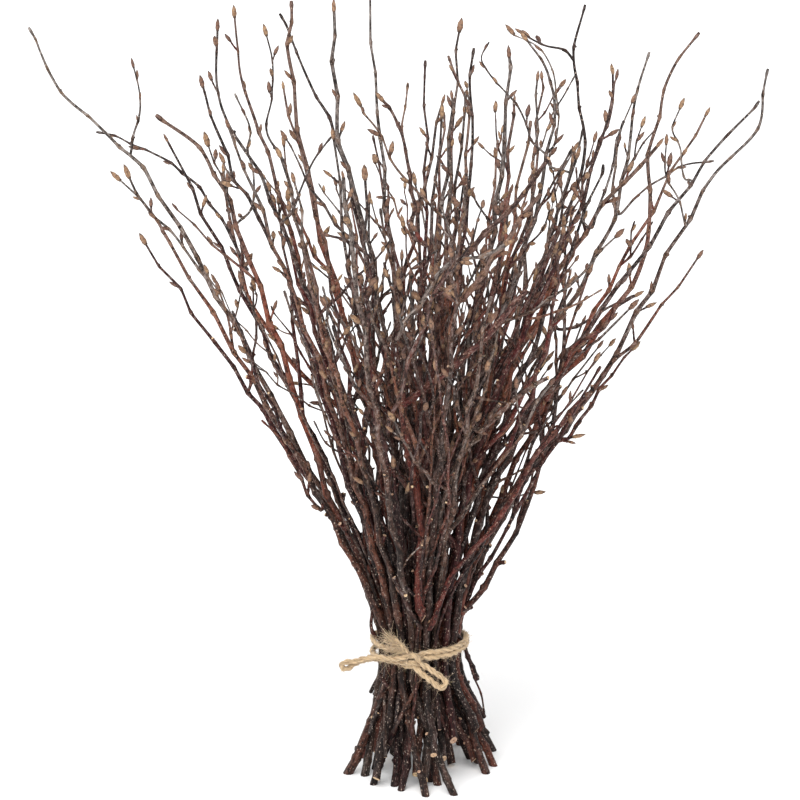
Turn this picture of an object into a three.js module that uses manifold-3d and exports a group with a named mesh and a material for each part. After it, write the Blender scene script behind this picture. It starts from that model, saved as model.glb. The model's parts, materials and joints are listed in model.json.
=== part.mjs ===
// A free-standing bundle of budded birch twigs, tied round its waist with jute twine.
//
// Millimetres, +Z up, the bow faces -Y. The origin is the middle of the bundle's outline on
// the surface that it stands on. Each twig is a tapered stick that is cut off flat at the
// butt, pinched at the waist and fans out above and below it. The twine is one piece: two
// wraps, a knot, two bow loops and a loose end.
import * as THREE from "three";
import { mergeVertices } from "three/addons/utils/BufferGeometryUtils.js";
import Module from "manifold-3d";

// ---- driving dimensions ----
const WAIST_HEIGHT = 74;
const WAIST_RADIUS = 24.2;
const FOOT_RADIUS = 41;
const FOOT_SWAY = 4;
const STANDING_SHARE = 0.5;
const HIGHEST_FOOT = 28;
const CROWN_SLOPE = 0.56;
const BUTT_RADIUS = 2.35;
const TIP_RADIUS = 0.6;
const BLUNT_TIP = 1.5;
const TAPER = 1.15;
const GAP = 0.34;
const SETTLING_ROUNDS = 500;
const EASING = 0.35;
const TWINE_RADIUS = 1.4;
const TWINE_STEP = 6.2;
const TWINE_SIDES = 8;
const TWIG_SIDES = 6;

// Every twig has its rings at these heights, so that neighbours can be kept apart level by level.
const LEVELS = [0, 28, 62, 82, 104, 134, 172, 216, 264, 312, 358, 402, 442];
const WAIST_BAND = [62, 82];
const OPEN_CROWN = 250;
const RING_SPACING = 16;
const FOOT_SPACING = 4;

// How far from the axis a twig passes the waist, and how close under it the twigs draw in.
const WAIST_FILL = 0.9;
const DRAWN_IN = 14;
const DRAWN_OUT = 4;

// ---- twigs with a shape of their own ----
// via: points [x, y, z] that the twig passes on its way from the waist to its tip, the last one.
const LEANING_TWIGS = [
  { via: [[-36, -6, 124], [-81, -8, 219], [-114, -10, 286], [-152, -10, 349], [-187, -10, 383],
          [-202, -10, 415]], bark: "grey" },
  { via: [[-50, -16, 160], [-91, -28, 294], [-116, -36, 356], [-137, -40, 374]], blunt: true },
  { via: [[-36, -26, 160], [-77, -60, 311], [-98, -76, 357], [-108, -90, 395]] },
  { via: [[-30, -14, 170], [-80, -42, 336], [-103, -55, 386], [-102, -60, 419]] },
  { via: [[-36, 20, 180], [-85, 48, 355], [-96, 56, 385], [-98, 60, 413]] },
  { via: [[-16, 26, 180], [-47, 71, 343], [-68, 84, 387], [-79, 90, 412]] },
  { via: [[-24, 16, 180], [-57, 38, 307], [-72, 54, 386], [-71, 60, 422]], blunt: true, bark: "red" },
  { via: [[-12, -10, 180], [-26, -26, 298], [-43, -40, 371], [-44, -50, 427]], blunt: true, bark: "grey" },
  { via: [[-6, 4, 180], [-18, 14, 313], [-25, 18, 390], [-27, 20, 427]] },
  { via: [[8, 24, 180], [27, 66, 350], [26, 72, 365], [16, 80, 390]] },
  { via: [[10, -8, 180], [28, -30, 357], [27, -36, 386], [28, -40, 408]] },
  { via: [[16, 4, 180], [42, 8, 325], [46, 10, 371], [47, 10, 397]], blunt: true, bark: "grey" },
  { via: [[26, 6, 180], [72, 16, 285], [90, 24, 348], [84, 28, 394], [89, 30, 423]], bark: "dark" },
  { via: [[24, -24, 190], [65, -66, 363], [65, -76, 396], [52, -80, 416]] },
  { via: [[36, 18, 180], [106, 44, 299], [118, 60, 351], [121, 66, 371], [128, 70, 393]], bark: "grey" },
  { via: [[44, -8, 180], [118, -20, 300], [118, -22, 342], [130, -28, 398], [141, -30, 415]], bark: "red" },
  { via: [[61, 2, 170], [86, 4, 202], [143, 8, 308], [158, 8, 335], [181, 10, 363],
          [184, 10, 391]], bark: "grey" },
  { via: [[44, -15, 180], [121, -30, 310], [150, -37, 356], [171, -42, 382]], bark: "grey" },
  { via: [[34, -22, 180], [90, -56, 324], [120, -70, 363]], blunt: true, bark: "red" },
  { via: [[28, -26, 190], [82, -70, 346], [91, -84, 390], [91, -90, 402]] },
  { via: [[52, -14, 170], [114, -12, 248], [146, -20, 296]] },
  { via: [[44, -12, 118], [56, -12, 146], [68, -12, 180], [72, -12, 212], [92, -10, 285]], bark: "dark" },
  { via: [[-24, -38, 170], [-52, -88, 290], [-60, -108, 352]] },
  { via: [[6, -44, 175], [14, -96, 290], [8, -116, 344]] },
  { via: [[30, 40, 170], [62, 92, 290], [70, 116, 372]] },
];

// The twigs that fill the rest of the fan stand closest at its front and its back.
const FAN_COUNT = 26;
const FAN_CROWDING = 0.42;
const FAN_TOP = 412;
const FAN_TOP_DROP = 50;
const FAN_TOP_SPREAD = 80;
const FAN_BLUNT_SHARE = 0.25;
const FORK_COUNT = 7;
const FORK_LEVEL = 6;

// Room that a fork needs above it, and how far its limb leans away from its parent.
const FORK_LENGTH = 110;
const FORK_SPREAD = 42;
const FORK_TURN = 1.15;
const FORK_THICKNESS = 0.6;

const GOLDEN_ANGLE = Math.PI * (3 - Math.sqrt(5));
const SEED = 20260;

const BARK = {
  dark: { color: 0x3a2a2c, roughness: 0.6, metalness: 0 },
  red: { color: 0x5d2c26, roughness: 0.55, metalness: 0 },
  grey: { color: 0x5b4a46, roughness: 0.7, metalness: 0 },
};
const BARK_ORDER = ["red", "dark", "red", "dark", "grey"];
const JUTE = { color: 0xc7a473, roughness: 0.95, metalness: 0 };

// ---- small helpers ----

/** A repeatable stream of numbers between 0 and 1. */
function makeRandom(seed) {
  let state = seed;
  return () => {
    state = (state + 0x6d2b79f5) | 0;
    let t = Math.imul(state ^ (state >>> 15), 1 | state);
    t = (t + Math.imul(t ^ (t >>> 7), 61 | t)) ^ t;
    return ((t ^ (t >>> 14)) >>> 0) / 4294967296;
  };
}

/** A number spread evenly about zero, at most `reach` away from it. */
function jitter(random, reach) {
  return (random() * 2 - 1) * reach;
}

/** The point at an angle and a distance from the bundle's axis. */
function polar(angle, distance) {
  return [Math.cos(angle) * distance, Math.sin(angle) * distance];
}

/** x and y as smooth functions of height, through the points given in rising order. */
function routeThrough(points) {
  const heights = points.map((point) => point[2]);
  const values = points.flatMap((point) => [point[0], point[1]]);
  const spline = new THREE.CubicInterpolant(heights, values, 2, new Float64Array(2));
  return (height) => {
    const inside = THREE.MathUtils.clamp(height, heights[0], heights.at(-1));
    const [x, y] = spline.evaluate(inside);
    if (height <= inside) return [x, y];
    const [fromX, fromY, fromZ] = points.at(-2);
    const rise = (height - inside) / (inside - fromZ);
    return [x + (x - fromX) * rise, y + (y - fromY) * rise];
  };
}

// ---- the twigs' routes ----

/** Foot, waist and crown points of one twig, plus its thickness and its bark. */
function planTwig(number, share, angle, crown, random, { blunt, bark }) {
  const waist = polar(angle, WAIST_RADIUS * WAIST_FILL * share ** 0.55);
  const footAngle = angle + jitter(random, 0.5);
  const foot = polar(footAngle, FOOT_RADIUS * (0.25 + 0.75 * share ** 0.6) + jitter(random, 3));
  const footHeight = random() < STANDING_SHARE ? 0 : random() * HIGHEST_FOOT;
  const points = [
    [foot[0] + FOOT_SWAY, foot[1], 0],
    [waist[0] * 1.02, waist[1] * 1.02, WAIST_HEIGHT - DRAWN_IN],
    [waist[0], waist[1], WAIST_HEIGHT + DRAWN_OUT],
    ...crown,
  ];
  return {
    name: `twig_${String(number).padStart(2, "0")}`,
    bark: bark ?? BARK_ORDER[number % BARK_ORDER.length],
    points,
    footHeight,
    tipHeight: crown.at(-1)[2],
    buttRadius: BUTT_RADIUS * (0.82 + 0.26 * random()),
    tipRadius: TIP_RADIUS * (blunt ? BLUNT_TIP : 1),
  };
}

/** The twigs whose crown is set by LEANING_TWIGS: the waist place follows from the lean. */
function planLeaningTwigs(random) {
  return LEANING_TWIGS.map((twig, index) => {
    const [x, y, z] = twig.via.find((point) => point[2] >= OPEN_CROWN);
    const share = Math.min(1, Math.hypot(x, y) / (CROWN_SLOPE * (z - WAIST_HEIGHT)));
    const angle = Math.atan2(y, x) + jitter(random, 0.2);
    return planTwig(index + 1, share, angle, twig.via, random, twig);
  });
}

/** The twigs that fill the fan: spread like seeds in a flower head, longer in the middle. */
function planFanTwigs(random) {
  const twigs = [];
  for (let index = 0; index < FAN_COUNT; index += 1) {
    const share = Math.sqrt((index + 0.5) / FAN_COUNT);
    const even = index * GOLDEN_ANGLE;
    const angle = even + FAN_CROWDING * Math.sin(2 * even) + jitter(random, 0.15);
    const tipHeight = FAN_TOP - FAN_TOP_DROP * share - FAN_TOP_SPREAD * random() ** 1.4;
    const crownAngle = angle + jitter(random, 0.5);
    const swing = jitter(random, 0.12);
    const crown = [0.3, 0.62, 1].map((part) => {
      const height = WAIST_HEIGHT + (tipHeight - WAIST_HEIGHT) * part;
      const lean = CROWN_SLOPE * share * (0.84 + 0.12 * part);
      const reach = 12 * share + lean * (height - WAIST_HEIGHT);
      return [...polar(crownAngle + swing * Math.sin(part * Math.PI), reach), height];
    });
    const number = LEANING_TWIGS.length + index + 1;
    const blunt = random() < FAN_BLUNT_SHARE;
    twigs.push(planTwig(number, share, angle, crown, random, { blunt }));
  }
  return twigs;
}

/** Limbs that leave a tall fan twig at its main fork and lean away to one side of it. */
function planForks(parents, random) {
  const highest = LEVELS[FORK_LEVEL + 1] + FORK_LENGTH;
  const tall = parents.filter((parent) => parent.tipHeight > highest).reverse();
  const forks = [];
  for (let index = 0; index < FORK_COUNT; index += 1) {
    const parent = tall[Math.floor((index * tall.length) / FORK_COUNT)];
    const route = routeThrough(parent.points);
    const height = LEVELS[FORK_LEVEL + (index % 2)];
    const [x, y] = route(height);
    const side = Math.atan2(y, x) + (index % 2 ? 1 : -1) * (FORK_TURN + 0.5 * random());
    const tipHeight = height + FORK_LENGTH + (parent.tipHeight - highest) * random();
    const limb = [0, 0.5, 1].map((part) => {
      const level = height + (tipHeight - height) * part;
      const [parentX, parentY] = route(level);
      const [awayX, awayY] = polar(side, 2 * BUTT_RADIUS + FORK_SPREAD * part);
      return [parentX + awayX, parentY + awayY, level];
    });
    forks.push({
      name: `${parent.name}_fork`,
      bark: parent.bark,
      points: limb,
      footHeight: height,
      tipHeight,
      buttRadius: parent.buttRadius * FORK_THICKNESS,
      tipRadius: TIP_RADIUS,
    });
  }
  return forks;
}

// ---- keeping the twigs apart ----

/** Radius of a twig at a height: thick at the butt, thin at the tip. */
function radiusAt(twig, height) {
  const length = twig.tipHeight - twig.footHeight;
  const along = THREE.MathUtils.clamp((height - twig.footHeight) / length, 0, 1);
  return THREE.MathUtils.lerp(twig.buttRadius, twig.tipRadius, along ** TAPER);
}

/** Sideways travel of a twig per millimetre of height, just about one level. */
function leanAt(twig, level) {
  const lower = Math.max(level - 1, twig.first);
  const upper = Math.min(level + 1, twig.last);
  const rise = LEVELS[upper] - LEVELS[lower];
  const [fromX, fromY] = twig.places[lower];
  const [toX, toY] = twig.places[upper];
  return [(toX - fromX) / rise, (toY - fromY) / rise];
}

/** Half the width of a twig's level cut, where it leans most. */
function reachAt(twig, level) {
  const [leanX, leanY] = leanAt(twig, level);
  return radiusAt(twig, LEVELS[level]) * Math.hypot(1, leanX, leanY);
}

/** Give a twig its place at every level from the one below its foot to the one above its tip. */
function layOut(twig) {
  twig.route = routeThrough(twig.points);
  twig.first = LEVELS.findLastIndex((height) => height <= twig.footHeight);
  twig.last = LEVELS.findIndex((height) => height >= twig.tipHeight);
  const held = (level) => level >= twig.first && level <= twig.last;
  twig.places = LEVELS.map((height, level) => (held(level) ? twig.route(height) : null));
}

/** How far a twig has been moved off its route at a level. */
function shiftAt(twig, level) {
  const [x, y] = twig.route(LEVELS[level]);
  return [twig.places[level][0] - x, twig.places[level][1] - y];
}

/** Share each shift with the levels above and below, so that pushes leave a bow and not a kink. */
function ease(twig) {
  const shifts = twig.places.map((place, level) => (place ? shiftAt(twig, level) : null));
  for (let level = twig.first; level <= twig.last; level += 1) {
    const below = shifts[Math.max(level - 1, twig.first)];
    const above = shifts[Math.min(level + 1, twig.last)];
    for (const axis of [0, 1]) {
      const shared = (below[axis] + above[axis]) / 2;
      twig.places[level][axis] += EASING * (shared - shifts[level][axis]);
    }
  }
}

/** Where between two levels a pair of twigs is closest (0 to 1), and the step between them there. */
function closest(a, b, level) {
  const startX = b.places[level][0] - a.places[level][0];
  const startY = b.places[level][1] - a.places[level][1];
  const stepX = b.places[level + 1][0] - a.places[level + 1][0] - startX;
  const stepY = b.places[level + 1][1] - a.places[level + 1][1] - startY;
  const travel = Math.max(stepX * stepX + stepY * stepY, 1e-9);
  const part = THREE.MathUtils.clamp(-(startX * stepX + startY * stepY) / travel, 0, 1);
  return [part, startX + stepX * part, startY + stepY * part];
}

/** Push two twigs apart between two levels if they come closer than the gap. */
function pushApart(a, b, level) {
  const [nearest, gapX, gapY] = closest(a, b, level);
  const distance = Math.max(Math.hypot(gapX, gapY), 1e-6);
  const lower = reachAt(a, level) + reachAt(b, level);
  const upper = reachAt(a, level + 1) + reachAt(b, level + 1);
  const short = Math.max(lower, upper) + GAP - distance;
  if (short <= 0) return;
  const push = short / distance / 2;
  const ends = [
    [level, 1 - nearest],
    [level + 1, nearest],
  ];
  for (const [row, weight] of ends) {
    const amount = push * THREE.MathUtils.lerp(0.4, 1, weight);
    a.places[row][0] -= gapX * amount;
    a.places[row][1] -= gapY * amount;
    b.places[row][0] += gapX * amount;
    b.places[row][1] += gapY * amount;
  }
}

/** Hold a twig inside the tie at the levels that the tie covers. */
function squeeze(twig) {
  LEVELS.forEach((height, level) => {
    if (!twig.places[level] || height < WAIST_BAND[0] || height > WAIST_BAND[1]) return;
    const [x, y] = twig.places[level];
    const room = WAIST_RADIUS - reachAt(twig, level);
    const distance = Math.hypot(x, y);
    if (distance > room) twig.places[level] = [(x * room) / distance, (y * room) / distance];
  });
}

/** Settle the whole bundle until no two twigs are closer than the gap. */
function settle(twigs) {
  twigs.forEach(layOut);
  for (let round = 0; round < SETTLING_ROUNDS; round += 1) {
    if (round < SETTLING_ROUNDS / 2) twigs.forEach(ease);
    for (let first = 0; first < twigs.length; first += 1) {
      for (let second = first + 1; second < twigs.length; second += 1) {
        const a = twigs[first];
        const b = twigs[second];
        const start = Math.max(a.first, b.first);
        const end = Math.min(a.last, b.last);
        for (let level = start; level < end; level += 1) pushApart(a, b, level);
      }
    }
    twigs.forEach(squeeze);
  }
}

// ---- solids ----

/** The heights of a twig's rings: foot, the levels between, its own bends in the open crown, tip. */
function ringHeights(twig) {
  const inside = (height) => height > twig.footHeight + FOOT_SPACING && height < twig.tipHeight;
  const heights = twig.points.map((point) => point[2]);
  const bends = heights.filter((height) => height > OPEN_CROWN && inside(height));
  const clear = (height) => bends.every((bend) => Math.abs(bend - height) > RING_SPACING);
  const between = LEVELS.filter((height) => inside(height) && clear(height));
  const inner = [...between, ...bends].sort((a, b) => a - b);
  return [twig.footHeight, ...inner, twig.tipHeight];
}

/** The rings of a twig: its settled places, with its own bends kept between the levels. */
function ringsOf(twig) {
  return ringHeights(twig).map((height) => {
    const level = Math.min(LEVELS.findLastIndex((mark) => mark <= height), twig.last - 1);
    const part = (height - LEVELS[level]) / (LEVELS[level + 1] - LEVELS[level]);
    const lower = height > OPEN_CROWN ? shiftAt(twig, level) : twig.places[level];
    const upper = height > OPEN_CROWN ? shiftAt(twig, level + 1) : twig.places[level + 1];
    const [baseX, baseY] = height > OPEN_CROWN ? twig.route(height) : [0, 0];
    return {
      x: baseX + THREE.MathUtils.lerp(lower[0], upper[0], part),
      y: baseY + THREE.MathUtils.lerp(lower[1], upper[1], part),
      z: height,
      lean: leanAt(twig, part > 0.5 ? level + 1 : level),
    };
  });
}

/** One twig as a tapered stick whose rings are level cuts, widened along the lean. */
function twigGeometry(twig) {
  const rings = ringsOf(twig);
  const geometry = new THREE.CylinderGeometry(1, 1, 1, TWIG_SIDES, rings.length - 1);
  geometry.rotateX(Math.PI / 2);
  const position = geometry.attributes.position;
  for (let index = 0; index < position.count; index += 1) {
    const ring = rings[Math.round((position.getZ(index) + 0.5) * (rings.length - 1))];
    const radius = radiusAt(twig, ring.z);
    const [leanX, leanY] = ring.lean;
    const slope = Math.max(Math.hypot(leanX, leanY), 1e-6);
    const widening = (Math.hypot(1, slope) - 1) / slope ** 2;
    const [spokeX, spokeY] = [position.getX(index), position.getY(index)];
    const along = (spokeX * leanX + spokeY * leanY) * widening;
    const x = ring.x + radius * (spokeX + along * leanX);
    const y = ring.y + radius * (spokeY + along * leanY);
    position.setXYZ(index, x, y, ring.z);
  }
  geometry.computeVertexNormals();
  return geometry;
}

const wasm = await Module();
wasm.setup();

/** A closed geometry as a solid that can be joined to others. */
function toSolid(geometry) {
  const bare = new THREE.BufferGeometry();
  bare.setAttribute("position", geometry.attributes.position);
  if (geometry.index) bare.setIndex(geometry.index);
  const merged = mergeVertices(bare, 1e-4);
  const vertProperties = new Float32Array(merged.attributes.position.array);
  const triVerts = new Uint32Array(merged.index.array);
  return new wasm.Manifold(new wasm.Mesh({ numProp: 3, vertProperties, triVerts }));
}

/** A joined solid back as a geometry. */
function toGeometry(solid) {
  const mesh = solid.getMesh();
  const geometry = new THREE.BufferGeometry();
  geometry.setAttribute("position", new THREE.BufferAttribute(mesh.vertProperties, 3));
  geometry.setIndex(new THREE.BufferAttribute(mesh.triVerts, 1));
  geometry.computeVertexNormals();
  return geometry;
}

/** A round length of twine through the points. */
function twineLength(points, radius = TWINE_RADIUS) {
  const path = new THREE.CatmullRomCurve3(points.map((point) => new THREE.Vector3(...point)));
  const steps = Math.max(6, Math.round(path.getLength() / TWINE_STEP));
  const section = new THREE.Shape();
  for (let side = 0; side < TWINE_SIDES; side += 1) {
    const [x, y] = polar((side * 2 * Math.PI) / TWINE_SIDES, radius);
    if (side === 0) section.moveTo(x, y);
    else section.lineTo(x, y);
  }
  section.closePath();
  return new THREE.ExtrudeGeometry(section, { steps, extrudePath: path, bevelEnabled: false });
}

// ---- the tie ----
const WRAP_RADIUS = WAIST_RADIUS + GAP + TWINE_RADIUS;
const KNOT = [-4.6, -WRAP_RADIUS - 2.6, WAIST_HEIGHT + 2.6];
const KNOT_SIZE = [4.4, 3, 4];
const FRAYED_RADIUS = 1.6;
const WRAP_POINTS = 22;
const WRAP_START = -Math.PI / 2 - 0.16;

// Height of each wrap's right side above the waist, and how far its left side and its back hang lower.
const UPPER_WRAP = { rise: 4.4, leftDrop: 0.4, backDrop: 4 };
const LOWER_WRAP = { rise: 1.5, leftDrop: 5.6, backDrop: 4 };

/** Points once round the waist from knot to knot. A wrap that hangs down lies a little further out. */
function wrapPoints({ rise, leftDrop, backDrop }) {
  const radius = WRAP_RADIUS + leftDrop * 0.02;
  const points = [];
  for (let index = 0; index <= WRAP_POINTS; index += 1) {
    const angle = WRAP_START + (index / WRAP_POINTS) * 2 * Math.PI;
    const left = Math.max(0, -Math.cos(angle)) ** 1.5;
    const back = Math.max(0, Math.sin(angle));
    points.push([...polar(angle, radius), WAIST_HEIGHT + rise - leftDrop * left - backDrop * back]);
  }
  return points;
}

const LEFT_LOOP = [
  KNOT,
  [-14, -30, 76.5],
  [-23, -25.4, 76],
  [-30, -22.2, 73.6],
  [-36, -20.8, 71.4],
  [-40.6, -20.4, 70.9],
  [-42.9, -20, 68.8],
  [-42, -19.4, 66.7],
  [-39.4, -18.8, 66.5],
  [-36.6, -18.3, 68.6],
  [-31, -19.2, 71.4],
  [-24, -22.6, 73.8],
  [-14, -28.6, 74.6],
  KNOT,
];
const RIGHT_LOOP = [
  KNOT,
  [0.5, -31.2, 74.2],
  [4, -32.4, 72.4],
  [8, -33, 69.8],
  [11.6, -33.3, 67.2],
  [14, -33.5, 64.4],
  [13.2, -33.8, 61.9],
  [10.8, -34, 61.3],
  [8, -33.8, 63.6],
  [4.4, -33.2, 66.4],
  [0.2, -32.2, 69.6],
  [-3.5, -30.6, 73],
];
const LOOSE_END = [KNOT, [-8, -30, 81], [-11, -29.8, 84.5], [-13.6, -29.4, 87.2]];

/** The whole tie as one solid: wraps, knot, bow loops and the loose end. */
function tieGeometry() {
  const knot = new THREE.SphereGeometry(1, 10, 6);
  knot.rotateX(Math.PI / 2);
  knot.scale(...KNOT_SIZE);
  knot.translate(...KNOT);
  const pieces = [
    twineLength(wrapPoints(UPPER_WRAP)),
    twineLength(wrapPoints(LOWER_WRAP)),
    knot,
    twineLength(LEFT_LOOP),
    twineLength(RIGHT_LOOP),
    twineLength(LOOSE_END, FRAYED_RADIUS),
  ];
  return toGeometry(pieces.map(toSolid).reduce((whole, piece) => whole.add(piece)));
}

// ---- assembly ----

/** A named mesh with its own finish. */
function named(name, geometry, finish) {
  const mesh = new THREE.Mesh(geometry, new THREE.MeshStandardMaterial(finish));
  mesh.name = name;
  return mesh;
}

/** The standing bundle, moved so that the middle of its outline is over the origin. */
function buildBundle() {
  const random = makeRandom(SEED);
  const fan = planFanTwigs(random);
  const twigs = [...planLeaningTwigs(random), ...fan, ...planForks(fan, random)];
  settle(twigs);
  const standing = new THREE.Group();
  twigs.forEach((twig) => standing.add(named(twig.name, twigGeometry(twig), BARK[twig.bark])));
  standing.add(named("twine", tieGeometry(), JUTE));

  const outline = new THREE.Box3().setFromObject(standing);
  const middle = outline.getCenter(new THREE.Vector3());
  standing.position.set(-middle.x, -middle.y, 0);
  const bundle = new THREE.Group();
  bundle.add(standing);
  return bundle;
}

export default buildBundle();
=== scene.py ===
"""A standing bundle of budded birch twigs tied with jute twine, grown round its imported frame.

Every twig follows the centreline and the thickness of its own solid. It gets the zigzag of
its nodes, buds on short spurs, side twigs, trimmed stubs and a cut end. Thin twigs fill the
gaps between them. The twine is laid as two twisted plies along the tie's route, with hairs
and a frayed end. Lengths are in metres, and MM turns millimetres into metres.
"""

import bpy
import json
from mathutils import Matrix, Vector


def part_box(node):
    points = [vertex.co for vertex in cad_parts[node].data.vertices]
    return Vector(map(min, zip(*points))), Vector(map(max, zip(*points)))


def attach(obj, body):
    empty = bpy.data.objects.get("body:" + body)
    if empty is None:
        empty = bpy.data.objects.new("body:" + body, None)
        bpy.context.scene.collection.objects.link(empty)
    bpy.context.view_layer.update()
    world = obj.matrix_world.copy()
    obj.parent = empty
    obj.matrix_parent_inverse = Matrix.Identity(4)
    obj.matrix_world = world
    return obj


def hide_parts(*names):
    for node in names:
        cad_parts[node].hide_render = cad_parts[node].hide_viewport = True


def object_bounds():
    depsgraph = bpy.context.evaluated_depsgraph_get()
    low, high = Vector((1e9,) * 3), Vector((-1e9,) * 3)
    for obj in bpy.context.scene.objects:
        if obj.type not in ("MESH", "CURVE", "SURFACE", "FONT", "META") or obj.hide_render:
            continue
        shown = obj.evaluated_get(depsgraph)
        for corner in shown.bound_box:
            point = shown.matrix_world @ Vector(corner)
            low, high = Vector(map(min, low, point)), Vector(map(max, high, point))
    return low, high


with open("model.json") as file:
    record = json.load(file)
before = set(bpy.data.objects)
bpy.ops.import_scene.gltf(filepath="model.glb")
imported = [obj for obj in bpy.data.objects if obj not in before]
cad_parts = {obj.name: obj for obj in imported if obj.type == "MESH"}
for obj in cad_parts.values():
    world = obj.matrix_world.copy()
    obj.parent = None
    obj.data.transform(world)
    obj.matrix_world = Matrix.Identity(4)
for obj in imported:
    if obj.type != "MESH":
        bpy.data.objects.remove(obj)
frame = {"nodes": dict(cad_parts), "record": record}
CAD_BOX = [[float(value) for value in corner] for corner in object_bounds()]

import json
import logging
import math
from dataclasses import dataclass, field
from enum import Enum

import bpy
import numpy as np
from mathutils import Vector

MM = 0.001
SEED = 41
CURVE_SAMPLES = 12
FULL_TURN = 2 * math.pi
YOUNG_FROM = 330 * MM
LOW_FOOT = 30 * MM
MARGIN_SHARE = 0.02
MARGIN = 3 * MM
UP = np.array([0.0, 0.0, 1.0])
LOG = logging.getLogger("bundle")

Colour = tuple[float, float, float, float]
Point = tuple[float, float, float]
Span = tuple[float, float]
Socket = bpy.types.NodeSocket


class Side(Enum):
    """Quarter of the bundle that a joined set of thin twigs belongs to, in order round from +x."""

    RIGHT = "right"
    BACK = "back"
    LEFT = "left"
    FRONT = "front"


class Tip(Enum):
    """How a twig ends at its top."""

    BUD = "bud"
    KNOB = "knob"
    CUT = "cut"


class Dressing(Enum):
    """What a main stem carries."""

    FULL = "forks, side twigs and buds"
    NO_LIMBS = "side twigs and buds"
    BARE_TOP = "nothing but knobs near its top"


class Skin(Enum):
    """Material index of a face on a twig's mesh."""

    BARK = 0
    BUD = 1
    WOOD = 2


# --- Curves ---


def unit(vector: np.ndarray) -> np.ndarray:
    """Scale a vector, or each row of an array of them, to length one."""
    return vector / np.maximum(np.linalg.norm(vector, axis=-1, keepdims=True), 1e-12)


def lengths_along(points: np.ndarray) -> np.ndarray:
    """Give the distance along a line of points at each of them."""
    steps = np.linalg.norm(np.diff(points, axis=0), axis=1)
    return np.concatenate([[0.0], np.cumsum(steps)])


def smooth_line(points: np.ndarray, step: float) -> np.ndarray:
    """Run a smooth curve through points and sample it evenly.

    Args:
        points: The points to pass, one a row.
        step: The wanted distance between samples.

    Returns:
        The samples, one a row, with the first and last point kept.
    """
    along = lengths_along(points)
    slopes = np.gradient(points, along, axis=0)
    dense = np.linspace(0.0, along[-1], CURVE_SAMPLES * len(points))
    segment = np.clip(np.searchsorted(along, dense, side="right") - 1, 0, len(points) - 2)
    width = (along[segment + 1] - along[segment])[:, None]
    part = (dense - along[segment])[:, None] / width
    square, cube = part**2, part**3
    curve = (
        (2 * cube - 3 * square + 1) * points[segment]
        + (cube - 2 * square + part) * width * slopes[segment]
        + (3 * square - 2 * cube) * points[segment + 1]
        + (cube - square) * width * slopes[segment + 1]
    )
    travelled = lengths_along(curve)
    count = max(3, int(round(travelled[-1] / step)) + 1)
    even = np.linspace(0.0, travelled[-1], count)
    return np.column_stack([np.interp(even, travelled, curve[:, axis]) for axis in range(3)])


def crosswise(direction: np.ndarray, helper: np.ndarray) -> np.ndarray:
    """Give a unit vector square to a direction.

    Args:
        direction: A unit vector.
        helper: An axis to cross it with, unless the two are nearly the same.

    Returns:
        The vector.
    """
    nearly_same = abs(direction @ helper) >= 0.9
    return unit(np.cross(direction, np.array([1.0, 0.0, 0.0]) if nearly_same else helper))


def ages_at(heights: np.ndarray, oldest: float = 1.0) -> np.ndarray:
    """Give the age of wood at each height: it falls from the butt to this year's growth."""
    return np.clip(oldest - heights / YOUNG_FROM, 0.0, 1.0)


def places_at(line: np.ndarray, heights: object) -> np.ndarray:
    """Give a line's x and y at a height or at each of several."""
    return np.stack([np.interp(heights, line[:, 2], line[:, axis]) for axis in (0, 1)], axis=-1)


def frames_along(line: np.ndarray) -> tuple[np.ndarray, np.ndarray, np.ndarray]:
    """Carry a pair of cross axes along a line without twisting them.

    Args:
        line: The points of the line.

    Returns:
        Tangents, first cross axes and second cross axes, one a point.
    """
    tangents = unit(np.gradient(line, axis=0))
    across = np.empty_like(line)
    across[0] = crosswise(tangents[0], np.array([0.0, 1.0, 0.0]))
    for index in range(1, len(line)):
        carried = across[index - 1] - tangents[index] * np.dot(across[index - 1], tangents[index])
        across[index] = unit(carried)
    return tangents, across, np.cross(tangents, across)


# --- Meshes ---


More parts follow.
